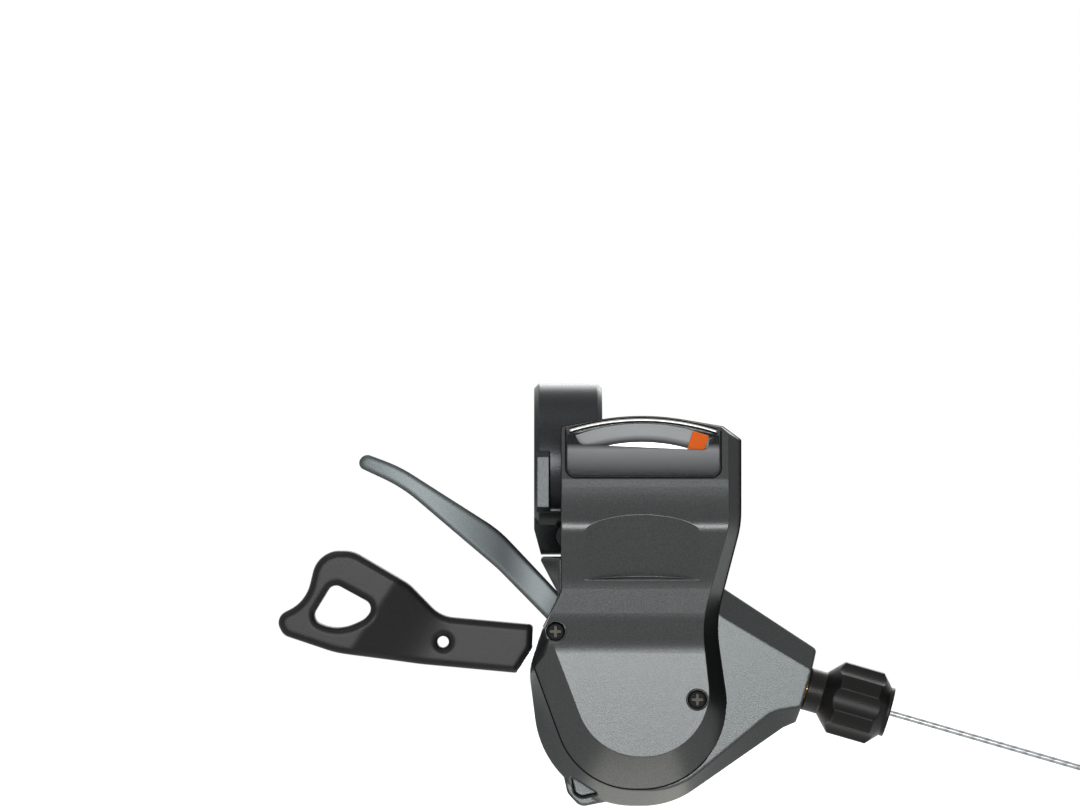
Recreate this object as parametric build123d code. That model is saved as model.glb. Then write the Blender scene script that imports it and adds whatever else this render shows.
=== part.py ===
from build123d import *
import os
from math import atan2, cos, degrees, hypot, radians, sin

# Trigger gear shifter for a flat handlebar, right hand, ten speeds. Millimetres.
# +X runs along the handlebar, +Z is up in the front view, and the cover faces -Y.
# The origin is the bar axis at the middle of the clamp band. A level is a distance
# in front of the bar axis, so a point at level L lies at y = -L.

# Handlebar clamp
BAR_RADIUS = 11.1
BAND_WALL = 4.7
BAND_WIDTH = 13.8
BAND_EDGE = 1.0
BAND_SPLIT = 2.0
LUG_DROP = 19.0
LUG_FRONT = 9.5
LUG_REAR = 9.0
LUG_BEVEL = 2.5
LUG_SLANT_TOP = 11.6
LUG_TAPER_TOP = 13.8
LUG_TAPER = 1.4
SADDLE_TOP = 2.0
SADDLE_DROP = 10.2
SADDLE_LEVEL = 16.9
SADDLE_WIDTH = 12.8
SADDLE_GROOVE_LEFT, SADDLE_GROOVE_RIGHT = -3.8, -1.0
SADDLE_GROOVE_LEVEL = 12.6
CLAMP_BOLT_RADIUS = 2.5
CLAMP_BOLT_DROP = 15.2
CLAMP_HEAD_RADIUS = 4.25
CLAMP_HEAD_HEIGHT = 5.0
HEX_KEY = 4.0

# Levels of the stack, from the back to the front
REAR_PLATE_LEVEL = 4.0
REAR_PLATE_THICK = 1.6
ARM_LEVEL = 7.9
ARM_THICK = 2.0
RELEASE_LEVEL = 10.5
RELEASE_THICK = 1.8
FLOOR_LEVEL = 12.8
FLOOR_THICK = 1.4
WALL_LEVEL = 18.8
SEAM_LEVEL = 23.0
FACE_LEVEL = 28.0
RIDGE_LEVEL = 34.8
CARRIER_THICK = 1.0
RATCHET_THICK = 1.2
DRUM_THICK = 3.0
INDEX_THICK = 1.2
CAM_THICK = 1.0
NEEDLE_THICK = 0.8
STACK_GAP = 0.2

# Walls and clearances
COVER_WALL = 2.0
LENS_THICK = 1.2
LENS_LEDGE = 1.2
DISPLAY_WALL = 0.8
FIT = 0.05
SEAT = 0.02
CLEAR = 0.3

# Main axis and the line that the cable follows
AXIS_X = 11.5
AXIS_Z = -44.4
CABLE_FALL = 16.1
CABLE_RADIUS = 0.6
PULL_RADIUS = 8.9

# Index: the pawls' pins lie on one circle, and the wheels and the room follow from it
SPEEDS = 10
PAWL_REACH = 13.4
PAWL_BOSS = 1.6
ROOM_WALL_GAP = 0.5
STEP_ANGLE = 15.0
AXLE_RADIUS = 3.0
SLEEVE_RADIUS = 4.4
RELEASE_PULL = 8.0
RELEASE_PIN_RADIUS = 0.7
RELEASE_PIN_ANGLE = 334.0
RELEASE_PIN_STAND = 0.8

# Barrel adjuster, as distances along the cable from the drum
FLANGE_END = 35.1
NECK_RADIUS = 4.3
NECK_LENGTH = 3.2
KNOB_RADIUS = 7.4
KNOB_FLARE = 3.0
KNOB_LENGTH = 8.0
KNOB_NOSE = 3.0
KNOB_NOSE_RADIUS = 5.0
KNOB_RIM = 0.8
KNOB_LOBES = 6
LOBE_CUT_RADIUS = 5.0
LOBE_CUT_DEPTH = 0.9
HOUSING_RADIUS = 2.1
HOUSING_SEAT = 5.0
ADJUSTER_BOLT_RADIUS = 2.5
ADJUSTER_BOLT_LENGTH = 12.0
CABLE_BORE_RADIUS = 0.95

FALL_COS = cos(radians(CABLE_FALL))
FALL_SIN = sin(radians(CABLE_FALL))
BAND_RADIUS = BAR_RADIUS + BAND_WALL
MECHANISM_ROOM = PAWL_REACH + PAWL_BOSS + ROOM_WALL_GAP
RELEASE_PIN_REACH = PAWL_REACH + RELEASE_PIN_STAND
FLOOR_FRONT = FLOOR_LEVEL + FLOOR_THICK
CARRIER_LEVEL = FLOOR_FRONT + CLEAR
RATCHET_LEVEL = CARRIER_LEVEL + CARRIER_THICK + STACK_GAP
DRUM_LEVEL = RATCHET_LEVEL + RATCHET_THICK
INDEX_LEVEL = DRUM_LEVEL + DRUM_THICK
CAM_LEVEL = INDEX_LEVEL + INDEX_THICK
NEEDLE_LEVEL = CAM_LEVEL + CAM_THICK + STACK_GAP
CABLE_LEVEL = DRUM_LEVEL + DRUM_THICK / 2


def on_cable(along, across):
    """Front-view point at a distance along the cable line and across it, upward positive."""
    across += PULL_RADIUS
    x = AXIS_X + along * FALL_COS + across * FALL_SIN
    z = AXIS_Z - along * FALL_SIN + across * FALL_COS
    return x, z


def polar(radius, angle):
    """Front-view point around the main axis, with angles counted anticlockwise from +X."""
    return AXIS_X + radius * cos(radians(angle)), AXIS_Z + radius * sin(radians(angle))


def outline(corners):
    """Flat face inside (x, z, radius) corners, each rounded by its radius."""
    points = [(x, z) for x, z, _ in corners]
    radii = [radius for _, _, radius in corners]
    return make_face(FilletPolyline(*points, radius=radii, close=True))


def slab(face, back, front):
    """Front-view face extruded from one level to another."""
    return extrude(Plane.XZ.offset(back) * face, amount=front - back)


def disc(x, z, radius, back, front):
    """Round slab about a front-view point."""
    return slab(Pos(x, z) * Circle(radius), back, front)


def axial(radius, back, front):
    """Round slab about the main axis."""
    return disc(AXIS_X, AXIS_Z, radius, back, front)


def link(start, start_radius, end, end_radius):
    """Face of a bar with two round ends, each with its own radius."""
    rounds = [Pos(*start) * Circle(start_radius), Pos(*end) * Circle(end_radius)]
    return make_hull([spot.edge() for spot in rounds])


def taper_between(lower, upper, back, front):
    """Straight-sided form between two matching outlines at two levels."""
    sections = [Plane.XZ.offset(back) * lower, Plane.XZ.offset(front) * upper]
    return loft(sections, ruled=True)


# Cover: one outline at the seam, one at the front face, and a side profile between them.
COVER_LEFT = -1.4
COVER_RIGHT = 34.5
COVER_TOP = 7.0
COVER_BOTTOM = -65.6
COVER_CROWN = 2.8
CROWN_RADIUS = 49.0
DISPLAY_MIDDLE = 14.6
LOWER_BEVEL = 6.8

SEAM_CORNERS = [
    (COVER_LEFT, COVER_TOP, 0.6),
    (COVER_LEFT, -26.0, 3.0),
    (-5.4, -33.8, 6.0),
    (-6.8, -41.4, 0.8),
    (2.1, COVER_BOTTOM, 16.0),
    (34.2, COVER_BOTTOM, 17.0),
    (29.4, -32.0, 25.0),
    (COVER_RIGHT, -12.5, 20.0),
    (COVER_RIGHT, COVER_TOP - 2.6, 0.6),
    (COVER_RIGHT - 3.6, COVER_TOP, 0.6),
    (DISPLAY_MIDDLE, COVER_TOP + COVER_CROWN, CROWN_RADIUS),
]
FACE_CORNERS = [
    (COVER_LEFT, COVER_TOP, 0.6),
    (COVER_LEFT, -26.0, 3.0),
    (-5.2, -33.6, 4.0),
    (-2.9, -37.0, 3.0),
    (5.4, COVER_BOTTOM + LOWER_BEVEL, 13.0),
    (29.6, COVER_BOTTOM + LOWER_BEVEL, 13.0),
    (26.6, -32.0, 22.0),
    (COVER_RIGHT - 2.6, -12.5, 18.0),
    (COVER_RIGHT - 2.6, COVER_TOP - 1.2, 0.6),
    (COVER_RIGHT - 4.1, COVER_TOP, 0.6),
    (DISPLAY_MIDDLE, COVER_TOP + COVER_CROWN, CROWN_RADIUS),
]

# Side profile of the cover's front, as (z, level, radius) corners from the flat face up: two waves,
# the ridge, and a shallow hollow below the lens.
RIDGE_Z = -12.6
DISPLAY_TILT = 0.29
HOLLOW_LOW, HOLLOW_HIGH = -7.6, -3.3
HOLLOW_DROP = 0.55
WAVE_FOOT = (-24.0, FACE_LEVEL + 2.8)
PROFILE_CORNERS = [
    (-36.8, FACE_LEVEL, 9.0),
    (-30.8, FACE_LEVEL + 1.85, 9.0),
    (*WAVE_FOOT, 12.0),
    (RIDGE_Z, RIDGE_LEVEL, 4.0),
    (HOLLOW_LOW, RIDGE_LEVEL - DISPLAY_TILT * (HOLLOW_LOW - RIDGE_Z) - HOLLOW_DROP, 25.0),
    (HOLLOW_HIGH, RIDGE_LEVEL - DISPLAY_TILT * (HOLLOW_HIGH - RIDGE_Z), 2.0),
]
SCOOP_RADIUS = 42.0
SCOOP_DEPTH = 1.6
SCREW_HEAD_RADIUS = 1.95
SCREW_HEAD_HEIGHT = 1.4
SCREW_SHANK_RADIUS = 1.1
SCREW_DEPTH = 9.0
SCREW_RECESS = 0.8
SCREW_POST_RIM = 0.9
SCREW_HEAD_ROOM = 0.2
COVER_SCREWS = [(-2.6, -33.8), (25.7, -47.4)]
SCREW_SEAT_LEVEL = FACE_LEVEL - SCREW_HEAD_HEIGHT * 2 / 3

LENS_LEFT = -0.4
LENS_RIGHT = 30.2
LENS_BOTTOM = -2.9
LENS_CORNER = 2.0
LENS_GAP = 0.3
REACH = 80.0


def profile(inset):
    """Solid behind the cover's front surface, set back by a wall."""
    corners = [(-REACH, FACE_LEVEL, 0)] + PROFILE_CORNERS
    corners.append((REACH, RIDGE_LEVEL - DISPLAY_TILT * (REACH - RIDGE_Z), 0))
    points = [(inset - level, z) for z, level, _ in corners] + [(0, REACH), (0, -REACH)]
    radii = [radius for _, _, radius in corners] + [0, 0]
    face = Plane.YZ * make_face(FilletPolyline(*points, radius=radii, close=True))
    return extrude(face, amount=REACH, both=True)


def inside(face, inset):
    """Outline moved in by a wall."""
    return offset(face, -inset, kind=Kind.INTERSECTION) if inset else face


def cover_form(inset):
    """Cover as a full body, with its sides and front moved in by a wall."""
    seam = inside(outline(SEAM_CORNERS), inset)
    face = inside(outline(FACE_CORNERS), inset)
    foot = taper_between(seam, face, SEAM_LEVEL, FACE_LEVEL)
    top = slab(face, FACE_LEVEL, RIDGE_LEVEL + COVER_WALL)
    return (foot + top) & profile(inset)


def lens_outline(inset):
    """Display lens in the front view, open to the top."""
    left, right = LENS_LEFT + inset, LENS_RIGHT - inset
    top, bottom = COVER_TOP + COVER_CROWN - inset, LENS_BOTTOM + inset
    lower = [(left, bottom, LENS_CORNER), (right, bottom, LENS_CORNER)]
    return outline([(left, top, 0), *lower, (right, top, 0)])


def scoop(inset):
    """Shallow hollow below the ridge: a cylinder that follows the cover's slope, set back by a wall."""
    foot_z, foot_level = WAVE_FOOT
    slope = Vector(0, foot_level - RIDGE_LEVEL, RIDGE_Z - foot_z).normalized()
    ridge = Vector(DISPLAY_MIDDLE, -RIDGE_LEVEL, RIDGE_Z)
    out = Vector(0, -slope.Z, slope.Y)
    centre = ridge + out * (SCOOP_RADIUS - SCOOP_DEPTH)
    tool = Plane(origin=tuple(centre), x_dir=(1, 0, 0), z_dir=tuple(slope))
    return tool * Cylinder(SCOOP_RADIUS + inset, 2 * (RIDGE_Z - foot_z))


def display_lens():
    """Clear lens over the gear window, flush with the cover's front and top."""
    skin = cover_form(0) - profile(LENS_THICK)
    return skin & slab(lens_outline(0), FACE_LEVEL - 4, RIDGE_LEVEL)


def top_cover():
    """Front cover as one moulded shell with its lens seat, window and screw seats."""
    body = cover_form(0) - scoop(0) - (cover_form(COVER_WALL) - scoop(COVER_WALL))
    body -= slab(inside(outline(SEAM_CORNERS), COVER_WALL), SEAM_LEVEL - 1, SEAM_LEVEL)
    seat = slab(lens_outline(-LENS_GAP), SEAM_LEVEL, RIDGE_LEVEL) - profile(LENS_THICK + LENS_GAP)
    body -= seat
    window = lens_outline(LENS_LEDGE) & inside(outline(FACE_CORNERS), DISPLAY_WALL)
    body -= slab(window, SEAM_LEVEL, RIDGE_LEVEL)
    for x, z in COVER_SCREWS:
        post = disc(x, z, SCREW_HEAD_RADIUS + SCREW_POST_RIM, SEAM_LEVEL, SCREW_SEAT_LEVEL) & cover_form(0)
        body += post
        body -= disc(x, z, SCREW_HEAD_RADIUS + SCREW_HEAD_ROOM, SCREW_SEAT_LEVEL, RIDGE_LEVEL)
        body -= disc(x, z, SCREW_SHANK_RADIUS + SEAT, 0, RIDGE_LEVEL)
    return body


def cross_recess(x, z, top, size, depth):
    """Cross-shaped driver recess in a screw head."""
    bar = Rectangle(size, size / 3.4) + Rectangle(size / 3.4, size)
    return slab(Pos(x, z) * bar, top - depth, top + 1)


def cover_screws():
    """Two pan-head screws that hold the cover on the base."""
    screws = []
    for x, z in COVER_SCREWS:
        top = SCREW_SEAT_LEVEL + SCREW_HEAD_HEIGHT
        head = disc(x, z, SCREW_HEAD_RADIUS, SCREW_SEAT_LEVEL, top)
        head = fillet(head.edges().sort_by(Axis.Y)[0], SCREW_HEAD_HEIGHT / 2.5)
        shank = disc(x, z, SCREW_SHANK_RADIUS, SCREW_SEAT_LEVEL - SCREW_DEPTH, SCREW_SEAT_LEVEL)
        screws.append(head + shank - cross_recess(x, z, top, SCREW_HEAD_RADIUS * 1.25, SCREW_RECESS))
    return Compound(children=screws)


# Base housing: wall outline, then the rim that the bevel runs up to.
BASE_TOP = -19.2
BASE_BOTTOM = -69.2
FLANGE_LOW, FLANGE_HIGH = -7.0, 8.1
RIM_LOW, RIM_HIGH = -3.6, 4.1
WALL_CORNERS = [
    (-5.9, BASE_TOP, 0.6),
    (-1.9, -26.8, 1.5),
    (-5.7, -35.2, 6.0),
    (-7.9, -42.0, 10.0),
    (-4.5, BASE_BOTTOM, 20.0),
    (20.5, BASE_BOTTOM, 18.0),
    (43.2, -53.4, 3.0),
    (*on_cable(FLANGE_END, FLANGE_LOW), 0.6),
    (*on_cable(FLANGE_END, FLANGE_HIGH), 1.0),
    (30.6, -25.1, 1.0),
    (27.0, BASE_TOP, 1.0),
]
RIM_CORNERS = [
    (-1.8, BASE_TOP - 0.1, 0.5),
    (-1.9, -26.8, 1.5),
    (-5.4, -35.0, 6.0),
    (-6.5, -41.4, 4.0),
    (2.3, -65.5, 16.0),
    (21.5, -66.0, 15.0),
    (40.8, -50.0, 6.0),
    (*on_cable(FLANGE_END, RIM_LOW), 0.5),
    (*on_cable(FLANGE_END, RIM_HIGH), 0.5),
    (30.2, -30.6, 3.0),
    (27.0, BASE_TOP - 0.1, 1.0),
]
ROOM_LEFT, ROOM_RIGHT, ROOM_TOP = 2.0, 27.0, -22.0
TRAY_THICK = 2.0
TRAY_WALL = 1.8
TRAY_INSET = 0.3
TRAY_FOOT = -24.0
SADDLE_GAP = 0.02
TRAY_LEVEL = SADDLE_LEVEL + SADDLE_GAP
SADDLE_SCREW_RADIUS = 1.5
SADDLE_SCREW_HEAD = 2.4
SADDLE_HEAD_HEIGHT = 1.4
SADDLE_SCREWS = [(3.4, -7.6), (3.4, -1.0)]
EAR_CORNERS = [
    (-1.6, -60.2, 0.6), (-0.2, -66.6, 2.5), (2.4, -69.4, 2.2), (9.5, -68.0, 1.5), (8.0, -62.0, 0.6),
]
EAR_POCKET = [(0.3, -62.9, 0.4), (1.3, -66.9, 0.8), (2.7, -67.6, 0.5), (6.4, -66.8, 0.4)]
EAR_BACK, EAR_FLOOR, EAR_FRONT = 12.8, 14.8, 18.6
PILLARS = [(27.5, -36.5), (27.5, -58.5)]
PILLAR_RADIUS = 2.6
PLATE_SCREW_RADIUS = 1.2
CABLE_SLOT = 1.2


def cable_cylinder(radius, start, end, level=CABLE_LEVEL):
    """Round bar along the cable line."""
    x, z = on_cable((start + end) / 2, 0)
    place = Plane(origin=(x, -level, z), x_dir=(0, -1, 0), z_dir=(FALL_COS, 0, -FALL_SIN))
    return place * Cylinder(radius, end - start)


def mechanism_room():
    """Open room in the base for the winder and the pawls."""
    room = Pos(AXIS_X, AXIS_Z) * Circle(MECHANISM_ROOM)
    tall = Pos((ROOM_LEFT + ROOM_RIGHT) / 2, (ROOM_TOP + AXIS_Z) / 2)
    return room + tall * Rectangle(ROOM_RIGHT - ROOM_LEFT, ROOM_TOP - AXIS_Z)


def release_slot():
    """Slot in the floor for the sweep of the release pin."""
    ends = [RELEASE_PIN_ANGLE, RELEASE_PIN_ANGLE - RELEASE_PULL / 2, RELEASE_PIN_ANGLE - RELEASE_PULL]
    rounds = [Pos(*polar(RELEASE_PIN_REACH, angle)) * Circle(RELEASE_PIN_RADIUS + CLEAR) for angle in ends]
    return make_hull([spot.edge() for spot in rounds])


def tray_outline(inset):
    """Rear shell of the display: the upper part of the cover's outline, inside its edge."""
    upper = Pos(0, TRAY_FOOT + REACH / 2) * Rectangle(2 * REACH, REACH)
    return inside(outline(SEAM_CORNERS), TRAY_INSET + inset) & upper


def base_housing():
    """Die-cast base: floor, walls, bevelled rim, cable flange, display tray, ear and pillars."""
    wall, rim = outline(WALL_CORNERS), outline(RIM_CORNERS)
    body = slab(wall, FLOOR_LEVEL, WALL_LEVEL) + taper_between(wall, rim, WALL_LEVEL, SEAM_LEVEL)
    body += slab(outline(EAR_CORNERS), EAR_BACK, EAR_FRONT)
    body -= slab(outline(EAR_POCKET), EAR_FLOOR, SEAM_LEVEL)
    body += slab(tray_outline(0), TRAY_LEVEL, SEAM_LEVEL)
    body -= slab(tray_outline(TRAY_WALL), TRAY_LEVEL + TRAY_THICK, SEAM_LEVEL + 1)
    body -= slab(mechanism_room(), FLOOR_FRONT, SEAM_LEVEL + 1)
    for x, z in SADDLE_SCREWS:
        body -= disc(x, z, SADDLE_SCREW_RADIUS + SEAT, 0, SEAM_LEVEL)
    for x, z in PILLARS:
        body += disc(x, z, PILLAR_RADIUS, REAR_PLATE_LEVEL + REAR_PLATE_THICK, FLOOR_LEVEL)
        body -= disc(x, z, PLATE_SCREW_RADIUS + SEAT, 0, FLOOR_LEVEL)
    for x, z in COVER_SCREWS:
        foot = SCREW_SEAT_LEVEL - SCREW_DEPTH - CLEAR
        body -= disc(x, z, SCREW_SHANK_RADIUS + SEAT, foot, SEAM_LEVEL + 1)
    body -= axial(SLEEVE_RADIUS + CLEAR, 0, FLOOR_FRONT)
    body -= slab(release_slot(), 0, FLOOR_FRONT + 1)
    thread_start = FLANGE_END - ADJUSTER_BOLT_LENGTH - 1
    body -= cable_cylinder(CABLE_SLOT, 0, FLANGE_END + 1)
    return body - cable_cylinder(ADJUSTER_BOLT_RADIUS + FIT, thread_start, FLANGE_END + 1)


# Clamp band on the bar, with its saddle, lugs and bolt
def clamp_band():
    """Split band around the bar, with a saddle in front and two lugs below."""
    front, rear, foot = -LUG_FRONT, LUG_REAR, -LUG_DROP
    corners = [(front, 0), (front, -LUG_SLANT_TOP), (front + LUG_BEVEL, foot), (rear - LUG_BEVEL, foot),
               (rear, foot + LUG_BEVEL), (rear, 0)]
    lugs = make_face(FilletPolyline(*corners, radius=BAND_EDGE, close=True))
    face = Circle(BAND_RADIUS) + lugs - Circle(BAR_RADIUS)
    face -= Pos(0, foot) * Rectangle(BAND_SPLIT, 2 * (LUG_DROP - BAR_RADIUS) + BAND_WALL)
    band = extrude(Plane.YZ * face, amount=BAND_WIDTH / 2, both=True)
    rims = [e for e in band.edges() if abs(abs(e.center().X) - BAND_WIDTH / 2) < 1e-4
            and e.geom_type == GeomType.CIRCLE and abs(e.radius - BAND_RADIUS) < 1e-4]
    band = chamfer(rims, BAND_EDGE)
    saddle_z = (SADDLE_TOP - SADDLE_DROP) / 2
    saddle = Pos(0, -SADDLE_LEVEL / 2, saddle_z) * Box(SADDLE_WIDTH, SADDLE_LEVEL, SADDLE_TOP + SADDLE_DROP)
    saddle -= Rotation(0, 90, 0) * Cylinder(BAR_RADIUS + 1, 2 * BAND_WIDTH)
    saddle = chamfer(saddle.edges().group_by(Axis.Y)[0].filter_by(Axis.X), BAND_EDGE)
    groove = Pos((SADDLE_GROOVE_LEFT + SADDLE_GROOVE_RIGHT) / 2, saddle_z)
    groove *= Rectangle(SADDLE_GROOVE_RIGHT - SADDLE_GROOVE_LEFT, 2 * SADDLE_LEVEL)
    band += saddle - slab(groove, SADDLE_GROOVE_LEVEL, SADDLE_LEVEL + 1)
    for x, z in SADDLE_SCREWS:
        band -= disc(x, z, SADDLE_SCREW_RADIUS + SEAT, BAR_RADIUS - 1, SADDLE_LEVEL + 1)
    side, root = -BAND_WIDTH / 2, -LUG_TAPER_TOP
    taper = [(side - 1, root, 0), (side, root, 0), (side + LUG_TAPER, foot, 0)]
    taper += [(side + LUG_TAPER, foot - 1, 0), (side - 1, foot - 1, 0)]
    band -= slab(outline(taper), -LUG_REAR - 1, LUG_FRONT + 1)
    behind = -LUG_REAR - 2 * CLAMP_HEAD_HEIGHT
    band -= disc(0, -CLAMP_BOLT_DROP, CLAMP_HEAD_RADIUS + CLEAR, behind, -LUG_REAR)
    return band - disc(0, -CLAMP_BOLT_DROP, CLAMP_BOLT_RADIUS + SEAT, -LUG_REAR - 1, LUG_FRONT + 1)


def clamp_bolt():
    """Socket-head bolt that draws the two lugs together."""
    head = disc(0, -CLAMP_BOLT_DROP, CLAMP_HEAD_RADIUS, -LUG_REAR - CLAMP_HEAD_HEIGHT, -LUG_REAR)
    head = chamfer(head.edges().sort_by(Axis.Y)[-1], BAND_EDGE / 2)
    key = Pos(0, -CLAMP_BOLT_DROP) * RegularPolygon(HEX_KEY / 2, 6, major_radius=False)
    head -= slab(key, -LUG_REAR - CLAMP_HEAD_HEIGHT - 1, -LUG_REAR - CLAMP_HEAD_HEIGHT / 2)
    return head + disc(0, -CLAMP_BOLT_DROP, CLAMP_BOLT_RADIUS, -LUG_REAR, LUG_FRONT)


def saddle_screws():
    """Two flat-head screws that fix the tray on the saddle."""
    seat = TRAY_LEVEL + TRAY_THICK
    screws = []
    for x, z in SADDLE_SCREWS:
        top = seat + SADDLE_HEAD_HEIGHT
        screw = disc(x, z, SADDLE_SCREW_HEAD, seat, top)
        screw += disc(x, z, SADDLE_SCREW_RADIUS, BAR_RADIUS + SADDLE_HEAD_HEIGHT, seat)
        screws.append(screw - cross_recess(x, z, top, SADDLE_SCREW_HEAD * 1.2, SCREW_RECESS))
    return Compound(children=screws)


# Lever stack behind the floor
PLATE_HUB = 7.5
PLATE_SCREW_HEAD = 2.4
PLATE_HEAD_HEIGHT = 1.4
DRIVER_SLOT = 0.8
AXLE_HEAD_RADIUS = 5.0
AXLE_HEAD_HEIGHT = 1.5
AXLE_SLOT = 1.2
CLIP_RADIUS = 5.0
CLIP_THICK = 0.6
SPRING_WIRE = 0.7
MAIN_SPRING_RADIUS = 6.0
MAIN_SPRING_TURNS = 1.5
PILLAR_SPRING_PITCH = 1.4
PILLAR_SPRING_TURNS = 3
ARM_HUB = 9.0
ARM_CORNERS = [
    (-31.0, -34.6, 2.0), (-31.0, -40.4, 2.0), (-8.0, -42.8, 8.0),
    (AXIS_X - ARM_HUB / 2, AXIS_Z - ARM_HUB * 0.85, 1.0), (AXIS_X, AXIS_Z + ARM_HUB, 1.0), (-4.0, -34.4, 8.0),
]
PAD_THICK = 2.8
PAD_CORNERS = [
    (-7.1, -33.0, 0.8), (-7.3, -37.8, 1.5), (-10.5, -42.8, 0.6), (-30.0, -41.0, 60.0),
    (-47.0, -38.5, 20.0), (-57.4, -35.0, 2.6), (-59.2, -31.4, 2.4), (-52.9, -28.2, 8.0),
    (-50.4, -18.0, 5.5), (-43.4, -18.0, 6.0), (-32.2, -24.6, 8.0), (-25.8, -31.3, 7.0),
]
PAD_WINDOW = [
    (-51.9, -31.8, 1.8), (-47.4, -24.4, 1.8), (-39.0, -29.0, 1.8), (-41.0, -31.8, 4.0), (-46.4, -34.2, 8.0),
]
PAD_HOLE = (-25.3, -36.5)
PAD_HOLE_RADIUS = 1.15
PAD_BACK = [(50.0, 0.0, 0.0), (-6.2, 0.0, 20.0), (-15.8, 2.6, 6.0), (-80.0, 4.0, 0.0)]
PAD_FRONT = [(50.0, 0.0, 0.0), (-6.2, 0.0, 24.0), (-15.8, 4.4, 4.0), (-80.0, 6.0, 0.0)]
PAD_TURN = 33.0
SKIN_BAND = 0.55
PAD_EDGE = 1.4
RELEASE_HUB = 8.0
RELEASE_CORNERS = [
    (-41.0, 1.6, 1.6), (-34.0, -1.0, 30.0), (-14.0, -13.8, 25.0), (-1.0, -27.6, 6.0),
    (AXIS_X, AXIS_Z + RELEASE_HUB, 1.0), (AXIS_X - RELEASE_HUB * 0.8, AXIS_Z - RELEASE_HUB * 0.5, 1.0),
    (-2.8, -33.4, 10.0), (-14.3, -21.6, 30.0), (-33.5, -5.2, 30.0), (-43.0, -0.8, 1.4),
]
RELEASE_BEND = [(50.0, 0.0, 0.0), (-9.0, 0.0, 30.0), (-28.0, 4.6, 80.0), (-60.0, 0.6, 0.0)]


def ring(outer, inner, back, front):
    """Washer about the main axis."""
    return axial(outer, back, front) - axial(inner, back - 1, front + 1)


def front_edges(body, steps, turn, front):
    """Edges of a bent plate that lie on its front skin, given the skin's level on its first step."""
    found = []
    for edge in body.edges():
        heights = []
        for place in (0, 0.5, 1):
            point = edge @ place
            run = point.X * cos(radians(turn)) - point.Z * sin(radians(turn))
            for (x0, rise0, _), (x1, rise1, _) in zip(steps, steps[1:]):
                if x1 <= run <= x0:
                    heights.append(-point.Y - rise0 - (rise1 - rise0) * (run - x0) / (x1 - x0))
        if min(heights) > front - SKIN_BAND:
            found.append(edge)
    return found


def bent_plate(back, front, base, thick):
    """Plate between two skins of (x, rise, radius) steps, as wide as the object is tall."""
    skin = [(x, -base - rise, radius) for x, rise, radius in back]
    skin += [(x, -base - thick - rise, radius) for x, rise, radius in reversed(front)]
    return Pos(0, 0, -REACH) * extrude(outline(skin), amount=2 * REACH)


def rear_plate():
    """Steel plate behind the levers, on two pillars of the base."""
    spots = [(AXIS_X, AXIS_Z, PLATE_HUB)] + [(x, z, PILLAR_RADIUS + 2 * CLEAR) for x, z in PILLARS]
    face = make_hull([(Pos(x, z) * Circle(radius)).edge() for x, z, radius in spots])
    plate = slab(face, REAR_PLATE_LEVEL, REAR_PLATE_LEVEL + REAR_PLATE_THICK)
    for x, z in PILLARS:
        plate -= disc(x, z, PLATE_SCREW_RADIUS + SEAT, 0, FLOOR_LEVEL)
    return plate - axial(AXLE_RADIUS + SEAT, 0, FLOOR_LEVEL)


def plate_screws():
    """Two screws that hold the rear plate on the pillars."""
    screws = []
    for x, z in PILLARS:
        head = disc(x, z, PLATE_SCREW_HEAD, REAR_PLATE_LEVEL - PLATE_HEAD_HEIGHT, REAR_PLATE_LEVEL)
        slot = Pos(x, z) * Rectangle(2 * PLATE_SCREW_HEAD + 1, DRIVER_SLOT)
        head -= slab(slot, 0, REAR_PLATE_LEVEL - PLATE_HEAD_HEIGHT / 2)
        screws.append(head + disc(x, z, PLATE_SCREW_RADIUS, REAR_PLATE_LEVEL, FLOOR_LEVEL - 1))
    return Compound(children=screws)


def main_axle():
    """Shaft that carries the levers and the winder, headed behind the rear plate."""
    top = CAM_LEVEL + CAM_THICK + STACK_GAP + 2 * CLIP_THICK
    head = axial(AXLE_HEAD_RADIUS, REAR_PLATE_LEVEL - AXLE_HEAD_HEIGHT, REAR_PLATE_LEVEL)
    slot = Pos(AXIS_X, AXIS_Z) * Rectangle(2 * AXLE_HEAD_RADIUS + 1, AXLE_SLOT)
    head -= slab(slot, 0, REAR_PLATE_LEVEL - AXLE_HEAD_HEIGHT / 2)
    return head + axial(AXLE_RADIUS, REAR_PLATE_LEVEL, top)


def axle_clip():
    """Snap ring on the front end of the axle."""
    back = CAM_LEVEL + CAM_THICK + STACK_GAP / 2
    clip = ring(CLIP_RADIUS, AXLE_RADIUS + SEAT, back, back + CLIP_THICK)
    mouth = Pos(AXIS_X, AXIS_Z - CLIP_RADIUS) * Rectangle(1.6 * AXLE_RADIUS, 2 * CLIP_RADIUS)
    return clip - slab(mouth, back - 1, back + CLIP_THICK + 1)


def thrust_spacer():
    """Plain bush between the rear plate and the main lever."""
    start = REAR_PLATE_LEVEL + REAR_PLATE_THICK
    return ring(SLEEVE_RADIUS, AXLE_RADIUS + SEAT, start, ARM_LEVEL - STACK_GAP / 2)


def coil_spring(x, z, radius, wire, pitch, turns, level):
    """Round-wire torsion coil about a front-view point."""
    helix = Helix(pitch=pitch, height=pitch * turns, radius=radius)
    coil = sweep(Plane(helix @ 0, z_dir=helix % 0) * Circle(wire / 2), path=helix)
    return Pos(x, -level - wire / 2, z) * Rotation(90, 0, 0) * coil


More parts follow.
